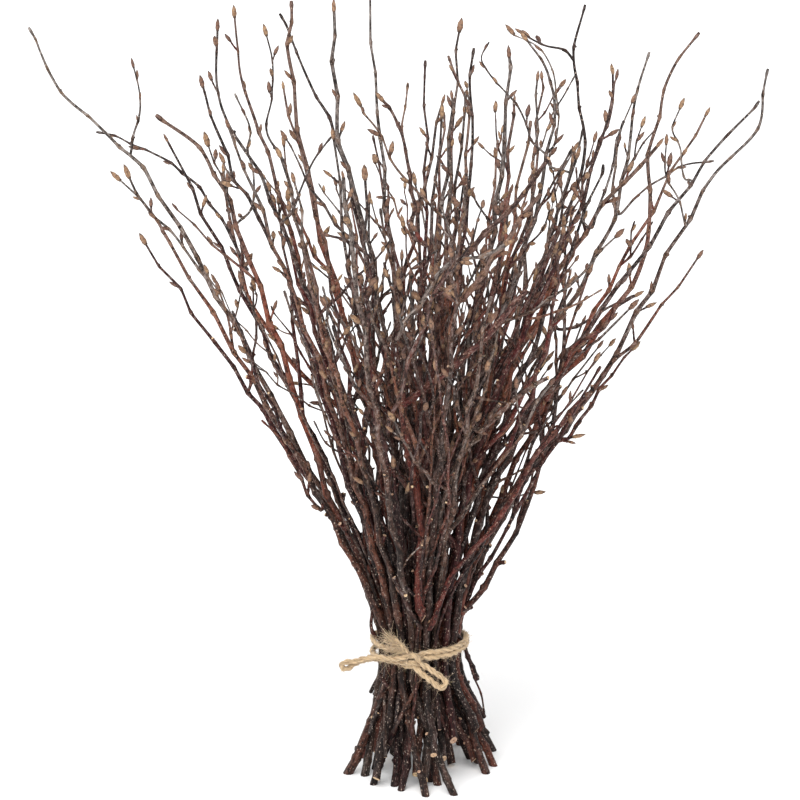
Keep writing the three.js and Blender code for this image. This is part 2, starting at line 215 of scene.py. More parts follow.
@dataclass
class Sheaf:
    """Vertices, faces and surface coordinates of one piece while it grows."""

    points: list[np.ndarray] = field(default_factory=list)
    places: list[np.ndarray] = field(default_factory=list)
    ages: list[np.ndarray] = field(default_factory=list)
    tones: list[np.ndarray] = field(default_factory=list)
    marks: list[np.ndarray] = field(default_factory=list)
    faces: list[tuple[int, ...]] = field(default_factory=list)
    skins: list[int] = field(default_factory=list)
    count: int = 0

    def add(
        self,
        points: np.ndarray,
        places: np.ndarray,
        age: np.ndarray,
        tone: float,
        mark: np.ndarray,
        faces: list[tuple[int, ...]],
        skin: Skin,
    ) -> None:
        """Take in one closed patch of surface.

        Args:
            points: The vertices.
            places: Each vertex's own coordinates on the stem that it belongs to.
            age: 1 on old wood at the butt, 0 on this year's tips.
            tone: The whole patch's shift of colour, from 0 to 1.
            mark: 0 to 1: the phase of a bud's scales, or the radius on a cut end.
            faces: Vertex numbers of each face, counted within the patch.
            skin: The material of the faces.
        """
        self.points.append(points)
        self.places.append(places)
        self.ages.append(np.broadcast_to(age, len(points)).astype(float))
        self.tones.append(np.full(len(points), tone))
        self.marks.append(np.broadcast_to(mark, len(points)).astype(float))
        self.faces += [tuple(corner + self.count for corner in face) for face in faces]
        self.skins += [skin.value] * len(faces)
        self.count += len(points)

    def build(self, name: str) -> bpy.types.Object:
        """Make the mesh object.

        Args:
            name: The piece's name.

        Returns:
            The new object, linked to the scene.
        """
        mesh = bpy.data.meshes.new(name)
        mesh.from_pydata(np.concatenate(self.points).tolist(), [], self.faces)
        mesh.polygons.foreach_set("material_index", self.skins)
        mesh.polygons.foreach_set("use_smooth", [True] * len(self.faces))
        place = mesh.attributes.new("place", "FLOAT_VECTOR", "POINT")
        place.data.foreach_set("vector", np.concatenate(self.places).astype(np.float32).ravel())
        for label, values in (("age", self.ages), ("tone", self.tones), ("mark", self.marks)):
            attribute = mesh.attributes.new(label, "FLOAT", "POINT")
            attribute.data.foreach_set("value", np.concatenate(values).astype(np.float32))
        mesh.update()
        piece = bpy.data.objects.new(name, mesh)
        bpy.context.scene.collection.objects.link(piece)
        return piece


def ring_faces(rings: int, sides: int, first: int = 0) -> list[tuple[int, ...]]:
    """List the quads between neighbouring rings of a tube.

    Args:
        rings: How many rings the tube has.
        sides: Vertices in a ring.
        first: The number of the first ring's first vertex.

    Returns:
        The faces, all facing out.
    """
    faces = []
    for ring in range(rings - 1):
        low = first + ring * sides
        for side in range(sides):
            beside = (side + 1) % sides
            faces.append((low + side, low + beside, low + sides + beside, low + sides + side))
    return faces


@dataclass
class Tube:
    """A round stem or strand along a line, closed at both ends."""

    line: np.ndarray
    radii: np.ndarray
    sides: int
    start_skin: Skin = Skin.WOOD
    end_skin: Skin = Skin.WOOD
    inner_ring: float = 0.55

    def add_to(
        self,
        sheaf: Sheaf,
        age: np.ndarray,
        tone: float,
        offset: float,
        relief: np.ndarray | None = None,
        tilts: tuple[np.ndarray | None, np.ndarray | None] = (None, None),
        scars: np.ndarray | None = None,
    ) -> None:
        """Lay the tube's wall and its two end faces into a sheaf.

        Args:
            sheaf: Where the surface goes.
            age: Age at each ring.
            tone: The stem's shift of colour.
            offset: Where this stem starts in its own coordinates, so that no two look alike.
            relief: Factor on the radius for each ring and side.
            tilts: The normal that each cut end faces along, where it isn't square.
            scars: How far each ring is from a scar, from 0 on it to 1 clear of it.
        """
        tangents, across, aside = frames_along(self.line)
        angles = np.arange(self.sides) * FULL_TURN / self.sides
        cosines, sines = np.cos(angles), np.sin(angles)
        spokes = cosines[:, None] * across[:, None] + sines[:, None] * aside[:, None]
        reach = np.repeat(self.radii[:, None], self.sides, axis=1)
        if relief is not None:
            reach = reach * relief
        wall = self.line[:, None] + spokes * reach[:, :, None]
        for end, normal in zip((0, -1), tilts):
            if normal is not None:
                self.shear(wall, end, tangents[end], normal)
        along = lengths_along(self.line)
        places = np.empty_like(wall)
        places[:, :, 0] = cosines * self.radii[:, None]
        places[:, :, 1] = sines * self.radii[:, None] + offset
        places[:, :, 2] = along[:, None] + offset * 3
        ages = np.repeat(np.broadcast_to(age, len(self.line))[:, None], self.sides, axis=1)
        sheaf.add(
            wall.reshape(-1, 3),
            places.reshape(-1, 3),
            ages.ravel(),
            tone,
            np.ones(wall.shape[0] * self.sides) if scars is None else np.repeat(scars, self.sides),
            ring_faces(len(self.line), self.sides),
            Skin.BARK,
        )
        self.close(sheaf, wall[0], places[0], ages[0], tone, self.start_skin, flip=True)
        self.close(sheaf, wall[-1], places[-1], ages[-1], tone, self.end_skin, flip=False)

    def shear(self, wall: np.ndarray, end: int, tangent: np.ndarray, normal: np.ndarray) -> None:
        """Slide an end ring's vertices along the stem, so that the end lies in a slanting plane.

        Args:
            wall: The rings of the wall, changed in place.
            end: The number of the ring.
            tangent: The stem's direction there.
            normal: The plane's normal.
        """
        middle = wall[end].mean(axis=0)
        slide = np.dot(wall[end] - middle, normal) / np.dot(tangent, normal)
        wall[end] -= slide[:, None] * tangent

    def close(
        self,
        sheaf: Sheaf,
        rim: np.ndarray,
        places: np.ndarray,
        ages: np.ndarray,
        tone: float,
        skin: Skin,
        flip: bool,
    ) -> None:
        """Close an end with a face of its own vertices.

        Args:
            sheaf: Where the surface goes.
            rim: The end ring.
            places: The ring's own coordinates.
            ages: The ring's ages.
            tone: The stem's shift of colour.
            skin: The material of the end face.
            flip: Whether the face looks back along the stem.
        """
        middle = rim.mean(axis=0)
        inner = middle + (rim - middle) * self.inner_ring
        points = np.concatenate([rim, inner, [middle]])
        marks = np.concatenate([np.ones(self.sides), np.full(self.sides, self.inner_ring), [0.0]])
        own = np.concatenate([places, places * [self.inner_ring, 1, 1], [places.mean(axis=0)]])
        faces = ring_faces(2, self.sides)
        hub = 2 * self.sides
        for side in range(self.sides):
            faces.append((self.sides + side, self.sides + (side + 1) % self.sides, hub))
        if flip:
            faces = [face[::-1] for face in faces]
        ages = np.concatenate([ages, ages, [ages[0]]])
        sheaf.add(points, own, ages, tone, marks, faces, skin)


# --- Buds and knobs ---


@dataclass(frozen=True)
class Bud:
    """A pointed winter bud with overlapping scales."""

    length: float
    width: float
    sides: int = 8
    rings: int = 9
    scale_rows: float = 2.6
    scale_reach: Span = (0.88, 0.22)
    lean: float = 0.1
    outline: tuple[tuple[float, ...], tuple[float, ...]] = (
        (0, 0.1, 0.27, 0.42, 0.62, 0.8, 0.93, 1),
        (0.62, 0.74, 0.96, 1, 0.87, 0.58, 0.3, 0.07),
    )

    def add_to(
        self, sheaf: Sheaf, base: np.ndarray, aim: np.ndarray, turn: float, tone: float, offset: float
    ) -> None:
        """Set the bud on a twig.

        Args:
            sheaf: Where the surface goes.
            base: The foot of the bud.
            aim: The direction that it points.
            turn: How far it is turned about its own axis.
            tone: Its shift of colour.
            offset: Where it starts in its own coordinates.
        """
        aim = unit(aim)
        across = crosswise(aim, UP)
        aside = np.cross(aim, across)
        part = np.linspace(0.0, 1.0, self.rings)
        profile = np.interp(part, *self.outline)
        angles = np.arange(self.sides) * FULL_TURN / self.sides + turn
        phase = (part[:, None] * self.scale_rows + angles[None, :] / FULL_TURN) % 1.0
        reach = profile[:, None] * (self.scale_reach[0] + self.scale_reach[1] * phase) * self.width / 2
        bend = self.lean * self.length * np.sin(part * math.pi / 2) ** 2
        line = base + aim * (part * self.length)[:, None] + across * bend[:, None]
        spokes = np.cos(angles)[:, None] * across + np.sin(angles)[:, None] * aside
        wall = line[:, None] + spokes[None] * reach[:, :, None]
        places = np.empty_like(wall)
        places[:, :, 0] = np.cos(angles) * self.width / 2
        places[:, :, 1] = np.sin(angles) * self.width / 2 + offset
        places[:, :, 2] = (part * self.length)[:, None] + offset * 3
        points = np.concatenate([wall.reshape(-1, 3), [line[0] - aim * 0.1 * MM, line[-1]]])
        own = np.concatenate([places.reshape(-1, 3), [places[0].mean(axis=0), places[-1].mean(axis=0)]])
        marks = np.concatenate([phase.ravel(), [0.5, 0.5]])
        ages = np.concatenate([np.repeat(part, self.sides), [0.0, 1.0]])
        faces = ring_faces(self.rings, self.sides)
        low, high = self.rings * self.sides, self.rings * self.sides + 1
        last = (self.rings - 1) * self.sides
        for side in range(self.sides):
            beside = (side + 1) % self.sides
            faces.append((beside, side, low))
            faces.append((last + side, last + beside, high))
        sheaf.add(points, own, ages, tone, marks, faces, Skin.BUD)


# --- Twigs ---


@dataclass
class Stem:
    """The settled line of one stem, with its nodes."""

    line: np.ndarray
    radii: np.ndarray
    nodes: list[int]
    outward: list[np.ndarray]
    tone: float
    ages: np.ndarray

    @property
    def tip_direction(self) -> np.ndarray:
        """Give the direction in which the stem's last stretch runs."""
        return unit(self.line[-1] - self.line[-4])

    def tangent(self, index: int) -> np.ndarray:
        """Give the direction in which the stem runs at a point."""
        return unit(self.line[index + 1] - self.line[index - 1])


@dataclass
class Room:
    """The box that the bundle may fill, and the stems that have grown in it so far."""

    low: np.ndarray
    high: np.ndarray
    stems: list[Stem] = field(default_factory=list)
    ends: int = 4
    bearing_girth: float = 0.8
    slack: float = 2 * MM
    cost_along: float = 0.45
    near: float = 4 * MM

    def seat(self, points: np.ndarray, butt: float) -> np.ndarray:
        """Lead a twig's first points back to the stem that can have borne it.

        Args:
            points: The twig's points, from its lower end.
            butt: Its radius there.

        Returns:
            The points, starting in the middle of that stem.
        """
        inside = slice(self.ends, -self.ends)
        places = np.concatenate([stem.line[inside] for stem in self.stems])
        girths = np.concatenate([stem.radii[inside] for stem in self.stems])
        back = unit(points[0] - points[1])
        away = places - points[0]
        along = away @ back
        aside = np.linalg.norm(away - along[:, None] * back, axis=1)
        can_bear = (girths > self.bearing_girth * butt) & (along > -self.slack)
        cost = np.where(can_bear, aside + self.cost_along * np.abs(along), np.inf)
        seat = places[np.argmin(cost)]
        kept = points[1:] if np.linalg.norm(seat - points[0]) < self.near else points
        return np.concatenate([[seat], kept])


@dataclass
class GrowthHabit:
    """What a twig's wood does as it grows: how its nodes, buds and side twigs are spaced."""

    # samples
    sample_step: float = 2.3 * MM
    side_step: float = 2.0 * MM
    # nodes: where they stand, how the stem turns and swells at them, and their leaf scars
    node_gap: Span = (12 * MM, 25 * MM)
    side_node_gap: Span = (8 * MM, 16 * MM)
    first_gap: float = 0.6
    bare_end: float = 3 * MM
    node_turn: float = 2.5
    turn_spread: float = 0.3
    zigzag: float = 1.35 * MM
    side_zigzag: float = 0.85 * MM
    zigzag_share: Span = (0.6, 0.8)
    steady_top: float = 92 * MM
    swelling: float = 0.2
    side_swelling: float = 1.35
    swelling_reach: float = 1.5 * MM
    scar: float = 0.42
    scar_angle: float = 0.7
    scar_height: float = 1.6 * MM
    scar_reach: float = 2.4 * MM
    # buds, spurs and knobs
    bud_length: Span = (5.0 * MM, 7.8 * MM)
    bud_width: Span = (0.31, 0.42)
    spur_length: Span = (1.2 * MM, 6.0 * MM)
    spur_rings: int = 6
    spur_lift: float = 0.18
    spur_ringing: float = 0.14
    spur_taper: Span = (1.1, 0.25)
    thickest_spur: float = 0.62 * MM
    tip_knob: Point = (1.1, 1.55, 1.15)
    tip_bud_share: float = 0.68
    # side twigs
    side_length: Span = (20 * MM, 84 * MM)
    least_length: float = 24 * MM
    past_tip: float = 12 * MM
    side_spread: Span = (0.36, 0.85)
    side_sway: float = 0.09
    side_rise: float = 0.22
    side_girth: Span = (0.44, 0.0072)
    side_age: float = 0.4
    side_sides: int = 6
    fork_girth: float = 0.72
    tip_girth: float = 0.45
    thinnest: float = 0.36 * MM
    twig_share: float = 0.12
    shortest_fork: float = 14 * MM
    shortest_room: float = 18 * MM
    side_budding: Span = (0.12, 0.88)
    side_buds: float = 0.4
    side_spurs: float = 0.6
    # limbs, which are main forks
    limb_zone: Span = (100 * MM, 215 * MM)
    limb_share: float = 0.28
    limb_length: Span = (85 * MM, 190 * MM)
    limb_spread: Span = (0.26, 0.64)
    limb_sway: float = 0.07
    limb_age: float = 0.7
    limb_sides: int = 8
    limb_branchiness: float = 0.2
    # what grows at which height
    bud_share: float = 0.72
    spur_share: float = 0.6
    stub_share: float = 0.6
    stub_free: Span = (48 * MM, 94 * MM)
    lowest_bud: float = 92 * MM
    first_branch: float = 112 * MM
    first_bud: float = 140 * MM
    bushy: Span = (185 * MM, 290 * MM)
    few_buds: float = 240 * MM
    knobs_from: float = 255 * MM
    bare_from: float = 285 * MM
    full_bud: float = 305 * MM
    bare_top: float = 375 * MM
    # the fan: its middle, and its reach at each height
    fan_middle: Span = (14 * MM, 11 * MM)
    fan: tuple[tuple[float, ...], tuple[float, ...]] = (
        (0.074, 0.104, 0.147, 0.191, 0.234, 0.278, 0.321, 0.365, 0.41),
        (0.028, 0.034, 0.053, 0.077, 0.098, 0.119, 0.14, 0.172, 0.21),
    )

    def branching(self, height: float) -> float:
        """Give the share of side twigs at a height: most in the middle, few at the top."""
        stops = (self.first_branch, *self.bushy, self.bare_top)
        return float(np.interp(height, stops, (0.0, 1.0, 1.0, 0.22)))

    def budding(self, height: float) -> float:
        """Give the share of buds at a height: hardly any low down."""
        stops = (self.first_bud, self.few_buds, self.full_bud, self.bare_top)
        return float(np.interp(height, stops, (0.05, 0.15, 1.0, 0.8)))


@dataclass(frozen=True)
class Outgrowth:
    """A short growth on a bare node: its end, lean, share of the stem's girth, and size."""

    ends: Tip
    lean: Span
    girth: tuple[float, ...]
    thickest: float
    reach: Span


STUB = Outgrowth(Tip.CUT, (0.4, 1.2), (0.55, 0.9), 1.6 * MM, (0.6, 4.0))
KNOB = Outgrowth(Tip.KNOB, (0.3, 0.9), (0.85,), 1.0 * MM, (0.2, 0.9))


class Grower:
    """Grows stems, buds, spurs, stubs and side twigs into a sheaf."""

    def __init__(self, sheaf: Sheaf, habit: GrowthHabit, rng: np.random.Generator, room: Room) -> None:
        """Set up for one piece.

        Args:
            sheaf: Where everything goes.
            habit: Spacing and sizes.
            rng: The piece's own stream of random numbers.
            room: The box that nothing may grow past, and the stems in it.
        """
        self.sheaf = sheaf
        self.habit = habit
        self.rng = rng
        self.room = room

    def between(self, span: Span) -> float:
        """Draw a number from a span."""
        return float(self.rng.uniform(*span))

    def fits(self, point: np.ndarray) -> bool:
        """Say whether a point is inside the fan and inside the box that the bundle has."""
        reach = np.interp(point[2], *self.habit.fan)
        inside_fan = np.hypot(*(point[:2] - self.habit.fan_middle)) < reach
        return bool(inside_fan and np.all(point > self.room.low) and np.all(point < self.room.high))

    def settle(self, line: np.ndarray, radii: np.ndarray, tone: float, ages: np.ndarray, side: bool) -> Stem:
        """Put nodes on a smooth line, and make it zigzag and swell at them.

        Args:
            line: Evenly spaced points.
            radii: The radius at each of them.
            tone: The stem's shift of colour.
            ages: The age at each point.
            side: Whether this is a side twig.

        Returns:
            The stem.
        """
        habit = self.habit
        gap = habit.side_node_gap if side else habit.node_gap
        reach = habit.side_zigzag if side else habit.zigzag
        along = lengths_along(line)
        _, across, aside = frames_along(line)
        marks, directions = [], []
        turn = self.rng.uniform(0, FULL_TURN)
        mark = self.between(gap) * habit.first_gap
        while mark < along[-1] - habit.bare_end:
            index = int(np.searchsorted(along, mark))
            marks.append(index)
            directions.append(math.cos(turn) * across[index] + math.sin(turn) * aside[index])
            turn += habit.node_turn + self.rng.normal(0, habit.turn_spread)
            mark += self.between(gap)
        if not marks:
            self.room.stems.append(Stem(line, radii, [], [], tone, ages))
            return self.room.stems[-1]
        stiffness = np.ones(len(marks))
        if not side:
            heights = line[marks][:, 2]
            stops = (0, 40 * MM, 58 * MM, habit.steady_top, habit.steady_top + 50 * MM)
            stiffness = np.interp(heights, stops, (0.8, 0.7, 0.3, 0.3, 1.0))
        least, more = habit.zigzag_share
        sizes = reach * (least + more * self.rng.random(len(marks))) * stiffness
        stops = np.concatenate([[0.0], along[marks], [along[-1]]])
        shifts = np.concatenate([[np.zeros(3)], -np.array(directions) * sizes[:, None], [np.zeros(3)]])
        offsets = np.column_stack([np.interp(along, stops, shifts[:, axis]) for axis in range(3)])
        swell = np.zeros(len(line))
        for index in marks:
            swell += np.exp(-(((along - along[index]) / habit.swelling_reach) ** 2))
        wobble = 1 + 0.04 * np.sin(along / (9 * MM) + turn) + 0.025 * np.sin(along / (3.7 * MM) + 2 * turn)
        strength = habit.swelling * (habit.side_swelling if side else 1.0)
        thick = radii * wobble * (1 + strength * np.minimum(swell, 1.0))
        self.room.stems.append(Stem(line + offsets, thick, marks, directions, tone, ages))
        return self.room.stems[-1]

    def skin(self, stem: Stem, sides: int, start: Skin, end: Skin, tilts: tuple = (None, None)) -> None:
        """Lay a stem's bark into the sheaf, a little out of round.

        Args:
            stem: The stem.
            sides: Vertices in a ring.
            start: The material of its lower end.
            end: The material of its upper end.
            tilts: The normals of slanting cuts.
        """
        habit = self.habit
        angles = np.arange(sides) * FULL_TURN / sides
        waves = self.rng.uniform(0, FULL_TURN, 3)
        along = lengths_along(stem.line)[:, None]
        relief = 1 + 0.035 * np.sin(2 * angles + waves[0] + along / (31 * MM))
        relief = relief + 0.03 * np.sin(3 * angles + waves[1] - along / (13 * MM))
        relief = relief + 0.02 * np.sin(4 * angles + waves[2] + along / (4 * MM))
        _, across, aside = frames_along(stem.line)
        for index, outward in zip(stem.nodes, stem.outward):
            facing = math.atan2(np.dot(outward, aside[index]), np.dot(outward, across[index]))
            apart = (angles - facing + math.pi) % FULL_TURN - math.pi
            above = (along - along[index]) / habit.scar_height
            relief = relief + habit.scar * np.exp(-((apart / habit.scar_angle) ** 2)) * np.exp(-(above**2))
        scars = np.ones(len(stem.line))
        for index in stem.nodes:
            from_scar = (along[:, 0] - along[index, 0]) / habit.scar_reach
            scars = np.minimum(scars, 1 - np.exp(-(from_scar**2)))
        tube = Tube(stem.line, stem.radii, sides, start, end)
        tube.add_to(self.sheaf, stem.ages, stem.tone, float(self.rng.uniform(0, 1)), relief, tilts, scars)

    def bud(self, base: np.ndarray, aim: np.ndarray, size: float = 1.0) -> None:
        """Set one bud."""
        length = self.between(self.habit.bud_length) * size
        shape = Bud(length, length * self.between(self.habit.bud_width))
        turn = self.rng.uniform(0, FULL_TURN)
        shape.add_to(self.sheaf, base, aim, turn, float(self.rng.random()), float(self.rng.uniform(0, 1)))

    def spur(
        self, base: np.ndarray, aim: np.ndarray, radius: float, length: float, ends: Tip, age: float = 0.35
    ) -> None:
        """Grow a short ringed spur and end it.

        Args:
            base: Where it leaves the stem's middle.
            aim: Its direction.
            radius: Its radius.
            length: How far it stands out of the stem.
            ends: How it ends.
            age: The age of its bark.
        """
        habit = self.habit
        part = np.linspace(0, 1, habit.spur_rings)
        line = base + unit(aim) * (part * length)[:, None]
        line = line + UP * (part**2 * habit.spur_lift * length)[:, None]
        ringing = 1 + habit.spur_ringing * np.cos(np.arange(habit.spur_rings) * math.pi)
        radii = radius * ringing * (habit.spur_taper[0] - habit.spur_taper[1] * part)
        stem = Stem(line, radii, [], [], float(self.rng.random()), np.full(habit.spur_rings, age))
        self.skin(stem, 7 if ends is Tip.CUT else 6, Skin.BARK, Skin.WOOD if ends is Tip.CUT else Skin.BARK)
        if ends is Tip.BUD:
            self.bud(line[-1] - unit(aim) * 0.3 * MM, stem.tip_direction, self.rng.uniform(0.8, 1.1))

    def outgrow(self, shape: Outgrowth, stem: Stem, index: int, outward: np.ndarray) -> None:
        """Leave a trimmed side twig's pale stump, or raise a leaf scar's knob.

        Args:
            shape: Which of them.
            stem: The stem.
            index: The number of the node's point.
            outward: The side of the node.
        """
        aim = unit(outward + stem.tangent(index) * self.between(shape.lean))
        share = shape.girth[0] if len(shape.girth) == 1 else self.between(shape.girth)
        radius = min(stem.radii[index] * share, shape.thickest)
        length = stem.radii[index] + self.between(shape.reach) * MM
        self.spur(stem.line[index], aim, radius, length, shape.ends, float(stem.ages[index]))

    def finish_tip(self, stem: Stem, kind: Tip) -> None:
        """Set a bud on a stem's end where it ends in one.

        Args:
            stem: The stem.
            kind: How it ends.
        """
        if kind is Tip.BUD:
            aim = stem.tip_direction
            self.bud(stem.line[-1] - aim * 0.4 * MM, aim, self.rng.uniform(0.9, 1.15))

    def tip_kind(self, blunt: bool) -> Tip:
        """Choose how a stem ends."""
        if blunt:
            return Tip.CUT
        return Tip.BUD if self.rng.random() < self.habit.tip_bud_share else Tip.KNOB

    def taper_tip(self, radii: np.ndarray, kind: Tip) -> np.ndarray:
        """Thicken the last millimetres of a stem into a knob where it ends in one.

        Args:
            radii: The radius at each point.
            kind: How the stem ends.

        Returns:
            The new radii.
        """
        shaped = radii.copy()
        if kind is Tip.KNOB:
            shaped[-len(self.habit.tip_knob) :] *= self.habit.tip_knob
        return shaped

    def side_twig(
        self, stem: Stem, index: int, outward: np.ndarray, length: float, depth: int, limb: bool = False
    ) -> bool:
        """Grow a side twig from a node, with buds and sometimes a twig of its own.

        Args:
            stem: The parent.
            index: The parent's node.
            outward: The side of the node.
            length: The side twig's length.
            depth: How many generations may still branch.
            limb: Whether it is a main fork, which runs nearly along its parent.

        Returns:
            Whether there was room for it.
        """
        habit = self.habit
        start = stem.line[index]
        tangent = stem.tangent(index)
        spread = self.between(habit.limb_spread if limb else habit.side_spread)
        aim = unit(tangent + outward * math.tan(spread))
        rise = unit(aim + UP * habit.side_rise + tangent * 0.3)
        sway = self.rng.normal(0, habit.limb_sway if limb else habit.side_sway, 3) * length
        middle = start + aim * 0.5 * length + rise * 0.14 * length + sway * 0.5
        points = np.array([start, start + aim * 0.3 * length, middle, middle + rise * 0.38 * length + sway])
        if not (self.fits(points[-1]) and self.fits(points[-2])):
            return False
        line = smooth_line(points, habit.side_step)
        thickest = (habit.side_girth[0] + habit.side_girth[1] * length / MM) * MM
        base = min(stem.radii[index] * habit.fork_girth, thickest)
        radii = np.linspace(base, max(habit.thinnest, base * habit.tip_girth), len(line))
        kind = self.tip_kind(blunt=False)
        radii = self.taper_tip(radii, kind)
        oldest = habit.limb_age if limb else habit.side_age
        ages = np.linspace(oldest, 0.0, len(line)) * (0.5 + stem.ages[index])
        twig = self.settle(line, radii, float(self.rng.random()), ages, side=not limb)
        self.skin(twig, habit.limb_sides if limb else habit.side_sides, Skin.BARK, Skin.BARK)
        self.finish_tip(twig, kind)
        if limb:
            self.dress_main(twig, habit.limb_branchiness, Dressing.NO_LIMBS)
        else:
            self.dress(twig, depth - 1)
        return True

    def dress(self, stem: Stem, depth: int) -> None:
        """Put something on every node of a side twig: a bud, a spur or a twig.

        Args:
            stem: The side twig.
            depth: How many generations may still branch.
        """
        habit = self.habit
        for index, outward in zip(stem.nodes, stem.outward):
            if index < 3 or index > len(stem.line) - 3:
                continue
            draw = self.rng.random()
            tangent = stem.tangent(index)
            height = stem.line[index][2]
            left = lengths_along(stem.line[index:])[-1]
            share = habit.side_budding[0] + habit.side_budding[1] * habit.budding(height)
            if height < habit.lowest_bud:
                self.outgrow(KNOB, stem, index, outward)
            elif draw < habit.twig_share and depth > 0 and left > habit.shortest_fork:
                self.side_twig(stem, index, outward, left * self.rng.uniform(0.4, 0.8), depth)
            elif draw < habit.twig_share + habit.side_buds * share:
                aim = unit(tangent + outward * self.rng.uniform(0.25, 0.6))
                reach = stem.radii[index] * 0.8
                self.bud(stem.line[index] + outward * reach, aim, self.rng.uniform(0.62, 0.95))
            elif draw < habit.twig_share + habit.side_spurs * share:
                aim = unit(tangent * 0.9 + outward)
                length = stem.radii[index] + self.between(habit.spur_length) * 0.8
                self.spur(stem.line[index], aim, stem.radii[index] * 0.8, length, Tip.BUD)
            else:
                self.outgrow(KNOB, stem, index, outward)

    def dress_main(self, stem: Stem, branchiness: float, dressing: Dressing) -> None:
        """Put forks, side twigs, budded spurs and stubs on a main stem's nodes.

        Args:
            stem: The main stem.
            branchiness: Share of its upper nodes that carry a side twig.
            dressing: What it may carry.
        """
        habit = self.habit
        top = stem.line[-1][2]
        for index, outward in zip(stem.nodes, stem.outward):
            if index < 4 or index > len(stem.line) - 4:
                continue
            height = stem.line[index][2]
            draw = self.rng.random()
            room = top - height
            forks = branchiness * habit.branching(height)
            buds = habit.bud_share * habit.budding(height)
            tangent = stem.tangent(index)
            if dressing is Dressing.BARE_TOP and height > habit.bare_from:
                self.outgrow(KNOB, stem, index, outward)
                continue
            in_zone = habit.limb_zone[0] < height < habit.limb_zone[1] and room > habit.limb_length[0]
            if dressing is not Dressing.NO_LIMBS and in_zone and self.rng.random() < habit.limb_share:
                length = self.between((habit.limb_length[0], min(room, habit.limb_length[1])))
                if self.side_twig(stem, index, outward, length, 2, limb=True):
                    continue
            if draw < forks and room > habit.shortest_room:
                longest = min(habit.side_length[1], room * 0.9 + habit.past_tip)
                length = self.between((habit.side_length[0], max(longest, habit.least_length)))
                self.side_twig(stem, index, outward, length, 2)
            elif draw < forks + buds * habit.spur_share:
                length = stem.radii[index] + self.between(habit.spur_length)
                aim = unit(tangent * self.rng.uniform(0.7, 1.3) + outward)
                radius = min(habit.thickest_spur, stem.radii[index] * 0.7)
                self.spur(stem.line[index], aim, radius, length, Tip.BUD)
            elif draw < forks + buds:
                aim = unit(tangent + outward * self.rng.uniform(0.3, 0.6))
                base = stem.line[index] + outward * stem.radii[index] * 0.8
                self.bud(base, aim, self.rng.uniform(0.7, 1.0))
            elif height > habit.knobs_from:
                self.outgrow(KNOB, stem, index, outward)
            elif not habit.stub_free[0] <= height <= habit.stub_free[1]:
                if self.rng.random() < habit.stub_share:
                    self.outgrow(STUB, stem, index, outward)


# --- Reading the frame ---


@dataclass
class Core:
    """Centreline and radius of one packed twig solid."""

    points: np.ndarray
    radii: np.ndarray

    @classmethod
    def of_node(cls, name: str) -> "Core":
        """Read a solid's level rings.

        Args:
            name: The node.

        Returns:
            Its rings' middles and radii, from foot to tip.
        """
        mesh = frame["nodes"][name].data
        corners = np.empty(len(mesh.vertices) * 3)
        mesh.vertices.foreach_get("co", corners)
        corners = np.unique(np.round(corners.reshape(-1, 3), 6), axis=0)
        levels = np.unique(np.round(corners[:, 2], 5))
        middles, radii = [], []
        for level in levels:
            ring = corners[np.abs(corners[:, 2] - level) < 2e-5]
            if len(ring) < 5:
                continue
            middle = ring.mean(axis=0)
            away = np.linalg.norm(ring - middle, axis=1)
            middles.append([middle[0], middle[1], level])
            radii.append(away[away > 1e-4].min())
        return cls(np.array(middles), np.array(radii))

    def line(self, step: float) -> tuple[np.ndarray, np.ndarray]:
        """Sample the twig evenly.

        Args:
            step: The wanted distance between samples.

        Returns:
            Points and radii.
        """
        line = smooth_line(self.points, step)
        return line, np.interp(line[:, 2], self.points[:, 2], self.radii)

    def radius_at(self, height: float) -> float:
        """Give the radius at a height."""
        return float(np.interp(height, self.points[:, 2], self.radii))


# --- Shading ---


